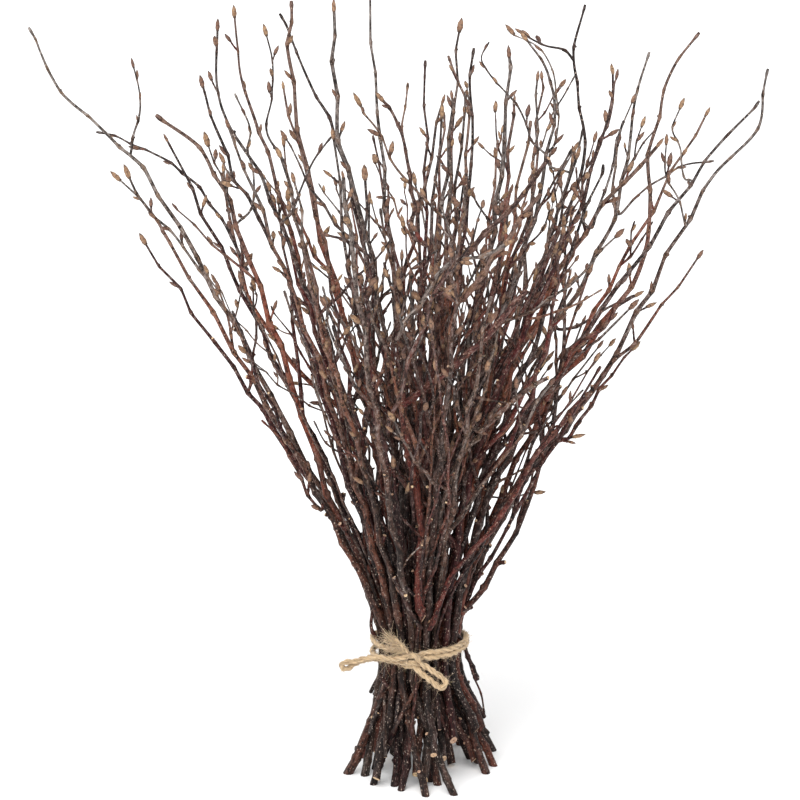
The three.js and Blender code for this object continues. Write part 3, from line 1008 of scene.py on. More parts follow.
class Graph:
    """A node tree, with short ways to add nodes and link them."""

    def __init__(self, tree: bpy.types.NodeTree) -> None:
        """Start from an empty tree."""
        self.tree = tree
        tree.nodes.clear()

    def node(self, kind: str, **settings: object) -> bpy.types.Node:
        """Add a node and set its properties."""
        made = self.tree.nodes.new(kind)
        for key, value in settings.items():
            setattr(made, key, value)
        return made

    def feed(self, socket: Socket, source: object) -> None:
        """Link a socket to another one, or set its value."""
        if isinstance(source, Socket):
            self.tree.links.new(source, socket)
        else:
            socket.default_value = source

    def math(self, operation: str, first: object, second: object, clamp: bool = False) -> Socket:
        """Add a Math node.

        Args:
            operation: What it works out.
            first: A number or a socket.
            second: A number or a socket.
            clamp: Whether the result is kept between 0 and 1.

        Returns:
            The result.
        """
        made = self.node("ShaderNodeMath", operation=operation, use_clamp=clamp)
        self.feed(made.inputs[0], first)
        self.feed(made.inputs[1], second)
        return made.outputs[0]

    def times(self, first: object, second: object) -> Socket:
        """Multiply two values."""
        return self.math("MULTIPLY", first, second)

    def plus(self, first: object, second: object) -> Socket:
        """Add two values."""
        return self.math("ADD", first, second)

    def mix(self, factor: object, first: object, second: object) -> Socket:
        """Mix two colours.

        Args:
            factor: 0 for the first colour, 1 for the second.
            first: A colour or a socket.
            second: A colour or a socket.

        Returns:
            The mixed colour.
        """
        made = self.node("ShaderNodeMix", data_type="RGBA")
        self.feed(made.inputs[0], factor)
        self.feed(made.inputs[6], first)
        self.feed(made.inputs[7], second)
        return made.outputs[2]

    def coat(self, base: Socket, coats: tuple[tuple[object, Colour], ...]) -> Socket:
        """Mix coats of colour over a base, one after the other.

        Args:
            base: The colour to start from.
            coats: Each coat's factor and colour.

        Returns:
            The last colour.
        """
        for factor, colour in coats:
            base = self.mix(factor, base, colour)
        return base

    def fit(
        self, value: object, low: float, high: float, to_low: float = 0.0, to_high: float = 1.0
    ) -> Socket:
        """Map a range onto another, clamped.

        Args:
            value: What is mapped.
            low: Start of its range.
            high: End of its range.
            to_low: What the start is mapped to.
            to_high: What the end is mapped to.

        Returns:
            The mapped value.
        """
        made = self.node("ShaderNodeMapRange")
        for position, source in enumerate((value, low, high, to_low, to_high)):
            self.feed(made.inputs[position], source)
        return made.outputs[0]

    def stretch(self, place: object, scale: object) -> Socket:
        """Scale a vector axis by axis."""
        made = self.node("ShaderNodeVectorMath", operation="MULTIPLY")
        self.feed(made.inputs[0], place)
        self.feed(made.inputs[1], scale)
        return made.outputs[0]

    def noise(self, place: object, scale: object, detail: float = 3.0, roughness: float = 0.6) -> Socket:
        """Add a noise.

        Args:
            place: The coordinates that it is looked up at.
            scale: A factor on each of them.
            detail: How many octaves it has.
            roughness: How strong the fine ones are.

        Returns:
            Its value.
        """
        made = self.node("ShaderNodeTexNoise")
        self.feed(made.inputs["Vector"], self.stretch(place, scale))
        made.inputs["Scale"].default_value = 1.0
        made.inputs["Detail"].default_value = detail
        made.inputs["Roughness"].default_value = roughness
        return made.outputs[0]

    def attribute(self, name: str, vector: bool = False) -> Socket:
        """Read a surface attribute."""
        made = self.node("ShaderNodeAttribute", attribute_name=name)
        return made.outputs["Vector" if vector else "Fac"]


class EffectGroup:
    """A shader node group with named sockets that several finishes share."""

    name = "Effect"
    inputs: tuple[tuple[str, str, object], ...] = ()
    outputs: tuple[tuple[str, str], ...] = ()

    def __init__(self) -> None:
        """Build the group once."""
        self.tree = bpy.data.node_groups.new(self.name, "ShaderNodeTree")
        for label, kind, default in self.inputs:
            socket = self.tree.interface.new_socket(label, in_out="INPUT", socket_type=kind)
            if default is not None:
                socket.default_value = default
        for label, kind in self.outputs:
            self.tree.interface.new_socket(label, in_out="OUTPUT", socket_type=kind)
        graph = Graph(self.tree)
        source = graph.node("NodeGroupInput")
        target = graph.node("NodeGroupOutput")
        self.wire(graph, source.outputs, target.inputs)

    def wire(self, graph: Graph, given: object, out: object) -> None:
        """Link the group's nodes; each effect does this its own way."""
        raise NotImplementedError

    def use(self, graph: Graph, **values: object) -> bpy.types.NodeOutputs:
        """Place the group in a material.

        Args:
            graph: The material's graph.
            **values: A socket or a value for each input, with _ for a space in its name.

        Returns:
            The placed group's outputs.
        """
        made = graph.node("ShaderNodeGroup", node_tree=self.tree)
        for key, value in values.items():
            graph.feed(made.inputs[key.replace("_", " ")], value)
        return made.outputs


class FibreStreaks(EffectGroup):
    """Fine streaks that run along a stem, a bud or a ply."""

    name = "Fibre streaks"
    inputs = (
        ("Place", "NodeSocketVector", None),
        ("Across", "NodeSocketFloat", 1500.0),
        ("Along", "NodeSocketFloat", 90.0),
    )
    outputs = (("Streak", "NodeSocketFloat"),)

    def wire(self, graph: Graph, given: object, out: object) -> None:
        """Stretch a noise along the stem.

        Args:
            graph: The group's graph.
            given: The group's inputs.
            out: The sockets to feed.
        """
        scale = graph.node("ShaderNodeCombineXYZ")
        for position, label in enumerate(("Across", "Across", "Along")):
            graph.feed(scale.inputs[position], given[label])
        streak = graph.noise(given["Place"], scale.outputs[0], 4.0)
        graph.feed(out["Streak"], graph.fit(streak, 0.3, 0.7))


class PalePores(EffectGroup):
    """Pale raised pores scattered over bark."""

    name = "Pale pores"
    inputs = (
        ("Place", "NodeSocketVector", None),
        ("Density", "NodeSocketFloat", 0.5),
        ("Size", "NodeSocketFloat", 0.3),
    )
    outputs = (("Mask", "NodeSocketFloat"),)

    def wire(self, graph: Graph, given: object, out: object) -> None:
        """Keep some of a cell pattern's middles.

        Args:
            graph: The group's graph.
            given: The group's inputs.
            out: The sockets to feed.
        """
        cells = graph.node("ShaderNodeTexVoronoi", feature="F1")
        graph.feed(cells.inputs["Vector"], graph.stretch(given["Place"], (780.0, 780.0, 560.0)))
        cells.inputs["Scale"].default_value = 1.0
        draw = graph.node("ShaderNodeSeparateColor")
        graph.feed(draw.inputs[0], cells.outputs["Color"])
        kept = graph.math("LESS_THAN", draw.outputs[0], given["Density"])
        dot = graph.node("ShaderNodeMapRange", interpolation_type="SMOOTHSTEP")
        sources = (cells.outputs["Distance"], graph.times(given["Size"], 0.45), given["Size"], 1.0, 0.0)
        for position, source in enumerate(sources):
            graph.feed(dot.inputs[position], source)
        shade = graph.fit(draw.outputs[1], 0.0, 1.0, 0.4, 1.0)
        graph.feed(out["Mask"], graph.times(graph.times(dot.outputs[0], kept), shade))


class GreyFilm(EffectGroup):
    """The silvery film that peels off young bark in long patches."""

    name = "Grey film"
    inputs = (("Place", "NodeSocketVector", None), ("Cover", "NodeSocketFloat", 0.4))
    outputs = (("Mask", "NodeSocketFloat"),)

    def wire(self, graph: Graph, given: object, out: object) -> None:
        """Cut a coarse noise at a height that depends on the cover, and break its edges up.

        Args:
            graph: The group's graph.
            given: The group's inputs.
            out: The sockets to feed.
        """
        broad = graph.noise(given["Place"], (420.0, 420.0, 55.0), roughness=0.55)
        fine = graph.noise(given["Place"], (2100.0, 2100.0, 260.0))
        summed = graph.plus(broad, graph.times(graph.math("SUBTRACT", fine, 0.5), 0.45))
        edge = graph.math("SUBTRACT", 0.78, graph.times(given["Cover"], 0.5))
        above = graph.math("SUBTRACT", summed, edge)
        graph.feed(out["Mask"], graph.math("MULTIPLY", above, 7.0, clamp=True))


class ToneShift(EffectGroup):
    """Makes one stem, bud or hair lighter or darker than the next."""

    name = "Tone shift"
    inputs = (
        ("Colour", "NodeSocketColor", None),
        ("Tone", "NodeSocketFloat", 0.5),
        ("Spread", "NodeSocketFloat", 0.4),
    )
    outputs = (("Colour", "NodeSocketColor"),)

    def wire(self, graph: Graph, given: object, out: object) -> None:
        """Scale the colour's value and turn its hue a little.

        Args:
            graph: The group's graph.
            given: The group's inputs.
            out: The sockets to feed.
        """
        centred = graph.math("SUBTRACT", given["Tone"], 0.5)
        value = graph.plus(1.0, graph.times(centred, given["Spread"]))
        hue = graph.plus(0.5, graph.times(centred, 0.03))
        shift = graph.node("ShaderNodeHueSaturation")
        graph.feed(shift.inputs["Hue"], hue)
        graph.feed(shift.inputs["Value"], value)
        graph.feed(shift.inputs["Color"], given["Colour"])
        graph.feed(out["Colour"], shift.outputs[0])


@dataclass
class Effects:
    """The shared node groups."""

    streaks: FibreStreaks
    pores: PalePores
    film: GreyFilm
    tone: ToneShift

    @classmethod
    def build(cls) -> "Effects":
        """Build every group once."""
        return cls(FibreStreaks(), PalePores(), GreyFilm(), ToneShift())

    def toned(self, graph: Graph, colour: Socket, spread: float) -> Socket:
        """Shift a colour by the stem's, the bud's or the hair's own tone."""
        return self.tone.use(graph, Colour=colour, Tone=graph.attribute("tone"), Spread=spread)["Colour"]


@dataclass
class Look:
    """What a finish gives its shader: colour, roughness, height for the bump, and constants."""

    colour: Socket
    roughness: Socket
    height: Socket
    bump_strength: float
    bump_distance: float
    constants: dict[str, float] = field(default_factory=dict)


class Finish:
    """A material made once; each finish works out its own look."""

    name: str

    def look(self, graph: Graph, effects: Effects, place: Socket) -> Look:
        """Work out the sockets that the shader is fed with; each finish does this its own way."""
        raise NotImplementedError

    def build(self, effects: Effects) -> bpy.types.Material:
        """Make the material.

        Args:
            effects: The shared groups.

        Returns:
            The material.
        """
        material = bpy.data.materials.new(self.name)
        material.use_nodes = True
        graph = Graph(material.node_tree)
        look = self.look(graph, effects, graph.attribute("place", vector=True))
        shader = graph.node("ShaderNodeBsdfPrincipled")
        bump = graph.node("ShaderNodeBump")
        output = graph.node("ShaderNodeOutputMaterial")
        for label, value in look.constants.items():
            shader.inputs[label].default_value = value
        bump.inputs["Strength"].default_value = look.bump_strength
        bump.inputs["Distance"].default_value = look.bump_distance
        graph.feed(bump.inputs["Height"], look.height)
        graph.feed(shader.inputs["Base Color"], look.colour)
        graph.feed(shader.inputs["Roughness"], look.roughness)
        graph.feed(shader.inputs["Normal"], bump.outputs[0])
        graph.feed(output.inputs[0], shader.outputs[0])
        return material


@dataclass(frozen=True)
class BarkFinish(Finish):
    """Bark of one kind of twig."""

    name: str
    # old bark's colour: partly its own darker colour, partly painted shade of the packed lower bundle
    old: Colour
    young: Colour
    blush: Colour
    # dark colour of the fibre streaks; it also darkens the bark towards the foot and in mottled patches, in
    # both partly as painted shade
    streak: Colour
    # strength of the dark mottled patches: partly the bark's own mottling, partly painted shade that deepens
    # the bundle's darks
    dark_mottle_and_shade: float
    # colour of the grey film that peels off young bark, made light enough to stand in for highlights too; it
    # also colours the painted sheen
    film: Colour
    film_cover: float
    # colour of the pale pores, and of the pale specks that are partly painted glints
    pore_and_glint: Colour
    pore_density: float
    roughness: float
    scar: Colour = (0.23, 0.115, 0.068, 1.0)
    spread: float = 1.15

    def look(self, graph: Graph, effects: Effects, place: Socket) -> Look:
        """Age and darken the bark from the crown to the foot, the darkening partly painted shade, and lay
        film, painted sheen, scars, pale specks and pores over it.

        Args:
            graph: The material's graph.
            effects: The shared groups.
            place: Each point's own coordinates on its stem.

        Returns:
            The look.
        """
        age = graph.attribute("age")
        streak = effects.streaks.use(graph, Place=place, Across=1300.0, Along=110.0)["Streak"]
        film = effects.film.use(graph, Place=place, Cover=self.film_cover)["Mask"]
        density = graph.fit(age, 0.0, 0.8, self.pore_density * 0.6, self.pore_density)
        pores = effects.pores.use(graph, Place=place, Density=density, Size=0.3)["Mask"]
        mottle = graph.noise(place, (560.0, 560.0, 300.0), 4.0, 0.75)
        blush = graph.noise(place, (140.0, 140.0, 26.0))
        # noise for the pale specks, which are partly dusty flecks and partly painted glints
        dust_and_glints = graph.noise(place, (1150.0, 1150.0, 900.0), 2.0)
        warmth = graph.times(graph.fit(age, 0.08, 0.26, 0.0, 0.42), graph.fit(age, 0.6, 0.42))
        flush = graph.times(graph.fit(blush, 0.4, 0.58, 0.0, 0.9), graph.fit(age, 0.1, 0.28, 0.06, 1.0))
        at_scar = graph.fit(graph.attribute("mark"), 0.85, 0.15)
        scar = graph.times(at_scar, graph.fit(age, 0.6, 0.3, 0.1, 0.6))
        coats = (
            (warmth, self.blush),
            (flush, self.blush),
            (graph.times(scar, graph.fit(mottle, 0.38, 0.5)), self.scar),
            (graph.times(streak, graph.fit(age, 0.1, 0.4, 0.38, 0.55)), self.streak),
            # darker towards the foot: partly older bark, partly painted shade deep in the packed lower
            # bundle
            (graph.fit(age, 0.46, 0.92, 0.0, 0.6), self.streak),
            # dark mottled patches: partly the bark's own mottling, partly painted shade
            (graph.fit(mottle, 0.48, 0.58, 0.0, self.dark_mottle_and_shade), self.streak),
            # the grey film: partly the real peeling film, partly painted highlight
            (graph.times(film, graph.fit(age, 0.2, 0.8, 0.75, 0.2)), self.film),
        )
        # young to old by age; the dark old colour is partly painted shade of the packed lower bundle
        base = graph.coat(graph.mix(graph.fit(age, 0.32, 0.64), self.young, self.old), coats)
        base = effects.toned(graph, base, self.spread)
        coats = (
            # light patches in the film's colour where the mottle is low, most on young bark: painted sheen
            (graph.times(graph.fit(mottle, 0.44, 0.36), graph.fit(age, 0.2, 0.8, 0.65, 0.18)), self.film),
            # pale specks in the pore colour: partly dusty flecks, partly painted glints in place of the
            # bark's glossy highlights
            (graph.fit(dust_and_glints, 0.63, 0.7, 0.0, 0.5), self.pore_and_glint),
            (graph.times(pores, 0.95), self.pore_and_glint),
        )
        base = graph.coat(base, coats)
        rough = graph.plus(self.roughness, graph.times(graph.math("SUBTRACT", mottle, 0.5), 0.6))
        rough = graph.math("ADD", rough, graph.times(film, 0.12), clamp=True)
        height = graph.plus(graph.times(streak, 0.35), graph.times(mottle, 1.8))
        height = graph.plus(graph.plus(height, graph.times(pores, 0.6)), graph.times(film, 0.25))
        return Look(base, rough, height, 1.0, 0.34 * MM, {"Specular IOR Level": 0.16})


@dataclass(frozen=True)
class BudFinish(Finish):
    """Scales of a winter bud: tan, with dark brown edges and a dark point."""

    name: str = "bud_scales"
    scale: Colour = (0.19, 0.087, 0.048, 1.0)
    pale: Colour = (0.36, 0.208, 0.125, 1.0)
    edge: Colour = (0.034, 0.017, 0.012, 1.0)

    def look(self, graph: Graph, effects: Effects, place: Socket) -> Look:
        """Darken each scale's edge, the bud's foot and its point.

        Args:
            graph: The material's graph.
            effects: The shared groups.
            place: Each point's own coordinates on its stem.

        Returns:
            The look.
        """
        phase = graph.attribute("mark")
        height = graph.attribute("age")
        streak = effects.streaks.use(graph, Place=place, Across=2300.0, Along=420.0)["Streak"]
        mottle = graph.noise(place, (800.0, 800.0, 500.0))
        coats = (
            (graph.times(streak, 0.4), self.edge),
            (graph.fit(phase, 0.6, 0.9, 0.0, 0.92), self.edge),
            (graph.fit(height, 0.72, 1.0, 0.0, 0.8), self.edge),
            (graph.fit(height, 0.22, 0.0, 0.0, 0.8), self.edge),
        )
        base = graph.coat(graph.mix(graph.fit(mottle, 0.4, 0.64), self.scale, self.pale), coats)
        base = effects.toned(graph, base, 0.85)
        rough = graph.fit(mottle, 0.3, 0.7, 0.42, 0.68)
        return Look(base, rough, graph.plus(streak, graph.times(phase, 1.2)), 0.6, 0.12 * MM)


@dataclass(frozen=True)
class CutWoodFinish(Finish):
    """A cut end: pale wood, a brown pith and a thin rim of bark."""

    name: str = "cut_wood"
    wood: Colour = (0.68, 0.49, 0.32, 1.0)
    stained: Colour = (0.4, 0.23, 0.13, 1.0)
    pith: Colour = (0.2, 0.1, 0.05, 1.0)
    rim: Colour = (0.055, 0.028, 0.022, 1.0)

    def look(self, graph: Graph, effects: Effects, place: Socket) -> Look:
        """Ring pith, wood and rim from the middle out, and stain the wood.

        Args:
            graph: The material's graph.
            effects: The shared groups.
            place: Each point's own coordinates on its stem.

        Returns:
            The look.
        """
        radius = graph.attribute("mark")
        speckle = graph.noise(place, (3200.0, 3200.0, 3200.0))
        stain = graph.noise(place, (900.0, 900.0, 40.0), 2.0, 0.5)
        coats = (
            (graph.fit(speckle, 0.45, 0.75, 0.0, 0.5), self.stained),
            (graph.fit(radius, 0.26, 0.14), self.pith),
            (graph.fit(radius, 0.86, 0.94), self.rim),
        )
        base = graph.coat(graph.mix(graph.fit(stain, 0.4, 0.65), self.wood, self.stained), coats)
        base = effects.toned(graph, base, 0.5)
        return Look(base, graph.fit(speckle, 0.3, 0.7, 0.7, 0.9), speckle, 0.6, 0.1 * MM)


@dataclass(frozen=True)
class JuteFinish(Finish):
    """Jute: tan plant fibre, matte and streaky, darker in patches, with painted shade towards the middle of
    each cut end.
    """

    name: str
    light: Colour
    mid: Colour
    # darkest fibre colour: the fibre's own dark patches, and painted shade on the cut ends
    deep: Colour
    across: float = 1500.0
    along: float = 150.0

    def look(self, graph: Graph, effects: Effects, place: Socket) -> Look:
        """Streak the fibre, and darken it in patches and, as painted shade, towards the middle of each cut
        end.

        Args:
            graph: The material's graph.
            effects: The shared groups.
            place: Each point's own coordinates on its stem.

        Returns:
            The look.
        """
        streak = effects.streaks.use(graph, Place=place, Across=self.across, Along=self.along)["Streak"]
        mottle = graph.noise(place, (700.0, 700.0, 130.0))
        coats = (
            (graph.fit(mottle, 0.5, 0.68, 0.0, 0.75), self.deep),
            # darker towards the middle of each cut end, where the mark falls to 0 (it is 1 on the walls):
            # painted shade
            (graph.fit(graph.attribute("mark"), 0.0, 0.55, 0.8, 0.0), self.deep),
        )
        base = graph.coat(graph.mix(streak, self.mid, self.light), coats)
        base = effects.toned(graph, base, 0.35)
        sheen = {"Sheen Weight": 0.25, "Sheen Roughness": 0.5}
        return Look(base, graph.fit(streak, 0.0, 1.0, 0.95, 0.78), streak, 1.0, 0.3 * MM, sheen)


BARK_FINISHES = (
    BarkFinish(
        name="bark_dark",
        old=(0.022, 0.0102, 0.009, 1.0),
        young=(0.1, 0.074, 0.066, 1.0),
        blush=(0.18, 0.05, 0.035, 1.0),
        streak=(0.0045, 0.0028, 0.0028, 1.0),
        dark_mottle_and_shade=0.92,
        film=(0.29, 0.235, 0.215, 1.0),
        film_cover=0.3,
        pore_and_glint=(0.64, 0.49, 0.4, 1.0),
        pore_density=0.2,
        roughness=0.5,
    ),
    BarkFinish(
        name="bark_red",
        old=(0.082, 0.0215, 0.016, 1.0),
        young=(0.156, 0.096, 0.08, 1.0),
        blush=(0.25, 0.055, 0.036, 1.0),
        streak=(0.01, 0.0042, 0.004, 1.0),
        dark_mottle_and_shade=0.82,
        film=(0.28, 0.19, 0.162, 1.0),
        film_cover=0.24,
        pore_and_glint=(0.66, 0.48, 0.37, 1.0),
        pore_density=0.18,
        roughness=0.48,
    ),
    BarkFinish(
        name="bark_grey",
        old=(0.035, 0.021, 0.018, 1.0),
        young=(0.142, 0.115, 0.105, 1.0),
        blush=(0.125, 0.052, 0.039, 1.0),
        streak=(0.006, 0.0045, 0.0042, 1.0),
        dark_mottle_and_shade=0.9,
        film=(0.38, 0.33, 0.305, 1.0),
        film_cover=0.34,
        pore_and_glint=(0.64, 0.53, 0.45, 1.0),
        pore_density=0.18,
        roughness=0.56,
    ),
)
BARKS = {finish.name: finish for finish in BARK_FINISHES}

JUTE = JuteFinish(
    name="jute",
    light=(0.76, 0.57, 0.35, 1.0),
    mid=(0.36, 0.235, 0.125, 1.0),
    deep=(0.11, 0.065, 0.032, 1.0),
)
# the twine's jute painted lighter for the thin loose hairs: painted light against the shade that falls on
# them
JUTE_HAIR = JuteFinish(
    name="jute_hair",
    light=(0.82, 0.65, 0.43, 1.0),
    mid=(0.58, 0.41, 0.24, 1.0),
    deep=(0.34, 0.22, 0.12, 1.0),
)


# --- The bundle's sub-assemblies ---


@dataclass
class Wardrobe:
    """Every material, made once."""

    barks: dict[str, bpy.types.Material]
    bud: bpy.types.Material
    wood: bpy.types.Material
    jute: bpy.types.Material
    hair: bpy.types.Material

    @classmethod
    def build(cls) -> "Wardrobe":
        """Make the shared effects and then the materials."""
        effects = Effects.build()
        finishes = (BudFinish(), CutWoodFinish(), JUTE, JUTE_HAIR)
        barks = {slot: finish.build(effects) for slot, finish in BARKS.items()}
        return cls(barks, *(finish.build(effects) for finish in finishes))

    def dress_twig(self, piece: bpy.types.Object, slot: str) -> None:
        """Give a twig its bark, bud and wood materials, in the order of Skin."""
        for material in (self.barks[slot], self.bud, self.wood):
            piece.data.materials.append(material)

    def dress_fibre(self, piece: bpy.types.Object, material: bpy.types.Material) -> None:
        """Give all of a piece one material."""
        piece.data.materials.append(material)
        piece.data.polygons.foreach_set("material_index", [0] * len(piece.data.polygons))


def place_piece(piece: bpy.types.Object, node: str | None = None) -> bpy.types.Object:
    """Put a piece on the bundle's body, and hide the solid that it replaces, if there is one.

    Args:
        piece: The piece.
        node: The solid that it stands for, if there is one.

    Returns:
        The piece.
    """
    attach(piece, "root")
    if node is not None:
        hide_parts(node)
    return piece


@dataclass
class TwigPart:
    """What every sub-assembly of twigs grows with: the materials, and the room that they share."""

    wardrobe: Wardrobe
    room: Room

    def finish(self, sheaf: Sheaf, name: str, slot: str, node: str | None = None) -> bpy.types.Object:
        """Make a piece of twigs, dress it and place it.

        Args:
            sheaf: Its surface.
            name: Its name.
            slot: Its bark's slot.
            node: The solid that it stands for, if there is one.

        Returns:
            The piece.
        """
        piece = sheaf.build(name)
        self.wardrobe.dress_twig(piece, slot)
        return place_piece(piece, node)


@dataclass
class TwigCrowd(TwigPart):
    """All twigs that have a solid of their own."""

    axis: np.ndarray
    habit: GrowthHabit = field(default_factory=GrowthHabit)
    sides: int = 9
    bark_share: float = 0.97
    oldest: float = 1.1
    branchiness: float = 0.17
    blunt_tip: float = 1.0 * MM
    floor_gap: float = 0.2 * MM
    foot_slope: Span = (0.5, 1.3)
    cut_towards: Point = (0.0, -0.8, 0.0)
    sloping_from: float = 7 * MM
    bare: tuple[str, ...] = ("twig_01", "twig_02", "twig_13", "twig_16", "twig_17", "twig_18")

    def slots(self) -> dict[str, str]:
        """Read the twigs' material slots from the record.

        Returns:
            Each twig node's slot, in the record's order.
        """
        return {
            row["node"]: row["material_slot"]
            for row in frame["record"]["subparts"]
            if row["node"].startswith("twig")
        }

    def build(self) -> list[bpy.types.Object]:
        """Grow every twig round its solid.

        Returns:
            The pieces.
        """
        pieces = []
        for number, (node, slot) in enumerate(self.slots().items()):
            sheaf = Sheaf()
            grower = Grower(sheaf, self.habit, np.random.default_rng(SEED + number), self.room)
            dressing = Dressing.BARE_TOP if node in self.bare else Dressing.FULL
            self.grow(grower, Core.of_node(node), node.endswith("fork"), dressing)
            pieces.append(self.finish(sheaf, f"budded_{node}", slot, node))
        return pieces

    def grow(self, grower: Grower, core: Core, is_fork: bool, dressing: Dressing) -> None:
        """Grow one twig.

        Args:
            grower: Where it grows.
            core: Its solid's line.
            is_fork: Whether it is a limb that starts at its parent's side.
            dressing: What it carries.
        """
        rng = grower.rng
        line, radii = core.line(self.habit.sample_step)
        blunt = radii[-1] > self.blunt_tip
        kind = Tip.KNOB if dressing is Dressing.BARE_TOP and not blunt else grower.tip_kind(blunt)
        radii = grower.taper_tip(radii * self.bark_share, kind)
        ages = ages_at(line[:, 2], self.oldest)
        stem = grower.settle(line, radii, float(rng.random()), ages, side=False)
        on_floor = line[0][2] < self.floor_gap
        slant = unit(stem.line[2] - stem.line[0] + rng.normal(0, 0.2, 3) * 2 * self.habit.sample_step)
        outward = unit(unit((line[0] - self.axis) * [1, 1, 0]) + self.cut_towards)
        slope = rng.uniform(*self.foot_slope) * min(1.0, line[0][2] / self.sloping_from)
        foot = UP if on_floor or is_fork else unit(slant - outward * slope)
        top = unit(stem.tip_direction + rng.normal(0, 0.25, 3)) if blunt else None
        end = Skin.WOOD if blunt else Skin.BARK
        grower.skin(stem, self.sides, Skin.WOOD, end, (foot, top))
        grower.finish_tip(stem, kind)
        grower.dress_main(stem, self.branchiness, dressing)


@dataclass
class ThinTwigs(TwigPart):
    """Thin twigs that fill the gaps between the others, from the cut ends to the crown."""

    habit: GrowthHabit = field(default_factory=lambda: GrowthHabit(zigzag=0.8 * MM))
    wanted: int = 34
    sides: int = 8
    taper: float = 0.55
    branchiness: float = 0.1
    waist_height: float = 73 * MM
    foot_reach: Span = (12, 27)
    fan_reach: Span = (12, 14)
    fan_slope: float = 0.55
    waist_half: float = 9 * MM
    waist_reach: float = 22.6 * MM
    thickness: Span = (0.9 * MM, 1.5 * MM)
    foot: Span = (14 * MM, 46 * MM)
    top: Span = (190 * MM, 300 * MM)
    checked: tuple[float, ...] = tuple(height * MM for height in (4, 25, 45, 62, 73, 84, 100, 125))
    overlap: float = 0.25 * MM
    tries: int = 6000

    def axis(self, cores: list[Core]) -> np.ndarray:
        """Find the middle of the waist."""
        return np.mean([places_at(core.points, self.waist_height) for core in cores], axis=0)

    def candidate(self, rng: np.random.Generator, axis: np.ndarray) -> tuple[np.ndarray, float]:
        """Draw the line and the thickness of one more twig.

        Args:
            rng: Random numbers.
            axis: The middle of the waist.

        Returns:
            Guide points from foot to tip, and the radius at the butt.
        """
        angle = rng.uniform(0, FULL_TURN)
        share = math.sqrt(rng.random())
        ways = [angle + rng.normal(0, 0.35), angle, angle, angle + rng.normal(0, 0.3)]
        ways.append(ways[-1] + rng.normal(0, 0.12))
        waist = self.waist_height
        at_waist = self.waist_reach * share**0.8
        top = rng.uniform(*self.top)
        middle = waist + (top - waist) * 0.45
        slope = self.fan_slope * share * rng.uniform(0.75, 1.0)
        reaches = [
            (self.foot_reach[0] + self.foot_reach[1] * share) * MM,
            at_waist,
            at_waist,
            (self.fan_reach[0] * share) * MM + slope * (middle - waist),
            (self.fan_reach[1] * share) * MM + slope * (top - waist) * rng.uniform(0.92, 1.1),
        ]
        heights = [rng.uniform(*self.foot), waist - self.waist_half, waist + self.waist_half, middle, top]
        points = [
            [axis[0] + math.cos(way) * reach, axis[1] + math.sin(way) * reach, height]
            for way, reach, height in zip(ways, reaches, heights)
        ]
        return np.array(points), float(rng.uniform(*self.thickness))

    def clear(self, line: np.ndarray, radius: float, taken: list[tuple[np.ndarray, float]]) -> bool:
        """Say whether a twig keeps off the others where they stand close.

        Args:
            line: The twig's points.
            radius: Its radius.
            taken: Places at the checked heights, and the radius, of each twig that is there.

        Returns:
            Whether it fits.
        """
        here = places_at(line, self.checked)
        for places, other in taken:
            away = np.linalg.norm(here - places, axis=1)
            if (away < radius + other - self.overlap).any():
                return False
        return True

    def build(self, cores: list[Core]) -> list[bpy.types.Object]:
        """Fill the gaps.

        Args:
            cores: The twigs that are there.

        Returns:
            One joined piece for each side of the bundle.
        """
        rng = np.random.default_rng(SEED * 7)
        cores = [core for core in cores if core.points[0][2] < LOW_FOOT]
        axis = self.axis(cores)
        taken = [(places_at(core.points, self.checked), core.radius_at(self.waist_height)) for core in cores]
        sheaves = {side: Sheaf() for side in Side}
        made = 0
        for _ in range(self.tries):
            points, radius = self.candidate(rng, axis)
            line = smooth_line(points, self.habit.sample_step)
            if not self.clear(line, radius, taken):
                continue
            taken.append((places_at(line, self.checked), radius))
            away = points[-1][:2] - axis
            quarter = int(((math.atan2(away[1], away[0]) + math.pi / 4) % FULL_TURN) // (math.pi / 2))
            side = tuple(Side)[quarter]
            self.grow(Grower(sheaves[side], self.habit, rng, self.room), line, radius)
            made += 1
            if made == self.wanted:
                break
        LOG.info("%d thin twigs between the others", made)
        pieces = []
        for side, sheaf in sheaves.items():
            slot = "bark_grey" if side in (Side.BACK, Side.LEFT) else "bark_dark"
            pieces.append(self.finish(sheaf, f"thin_twigs_{side.value}", slot))
        return pieces

    def grow(self, grower: Grower, line: np.ndarray, radius: float) -> None:
        """Grow one thin twig.

        Args:
            grower: Where it grows.
            line: Its points.
            radius: Its radius at the butt.
        """
        along = lengths_along(line) / lengths_along(line)[-1]
        kind = grower.tip_kind(blunt=False)
        radii = grower.taper_tip(radius * (1 - self.taper * along), kind)
        stem = grower.settle(line, radii, float(grower.rng.random()), ages_at(line[:, 2]), side=False)
        grower.skin(stem, self.sides, Skin.WOOD, Skin.BARK)
        grower.finish_tip(stem, kind)
        grower.dress_main(stem, self.branchiness, Dressing.FULL)


@dataclass(frozen=True)
class Route:
    """One side twig or loose broken twig, given point by point in millimetres from the waist's axis."""

    slot: str
    points: tuple[Point, ...]
    butt: float
    tip: float
    ends: Tip = Tip.BUD
    loose: bool = False


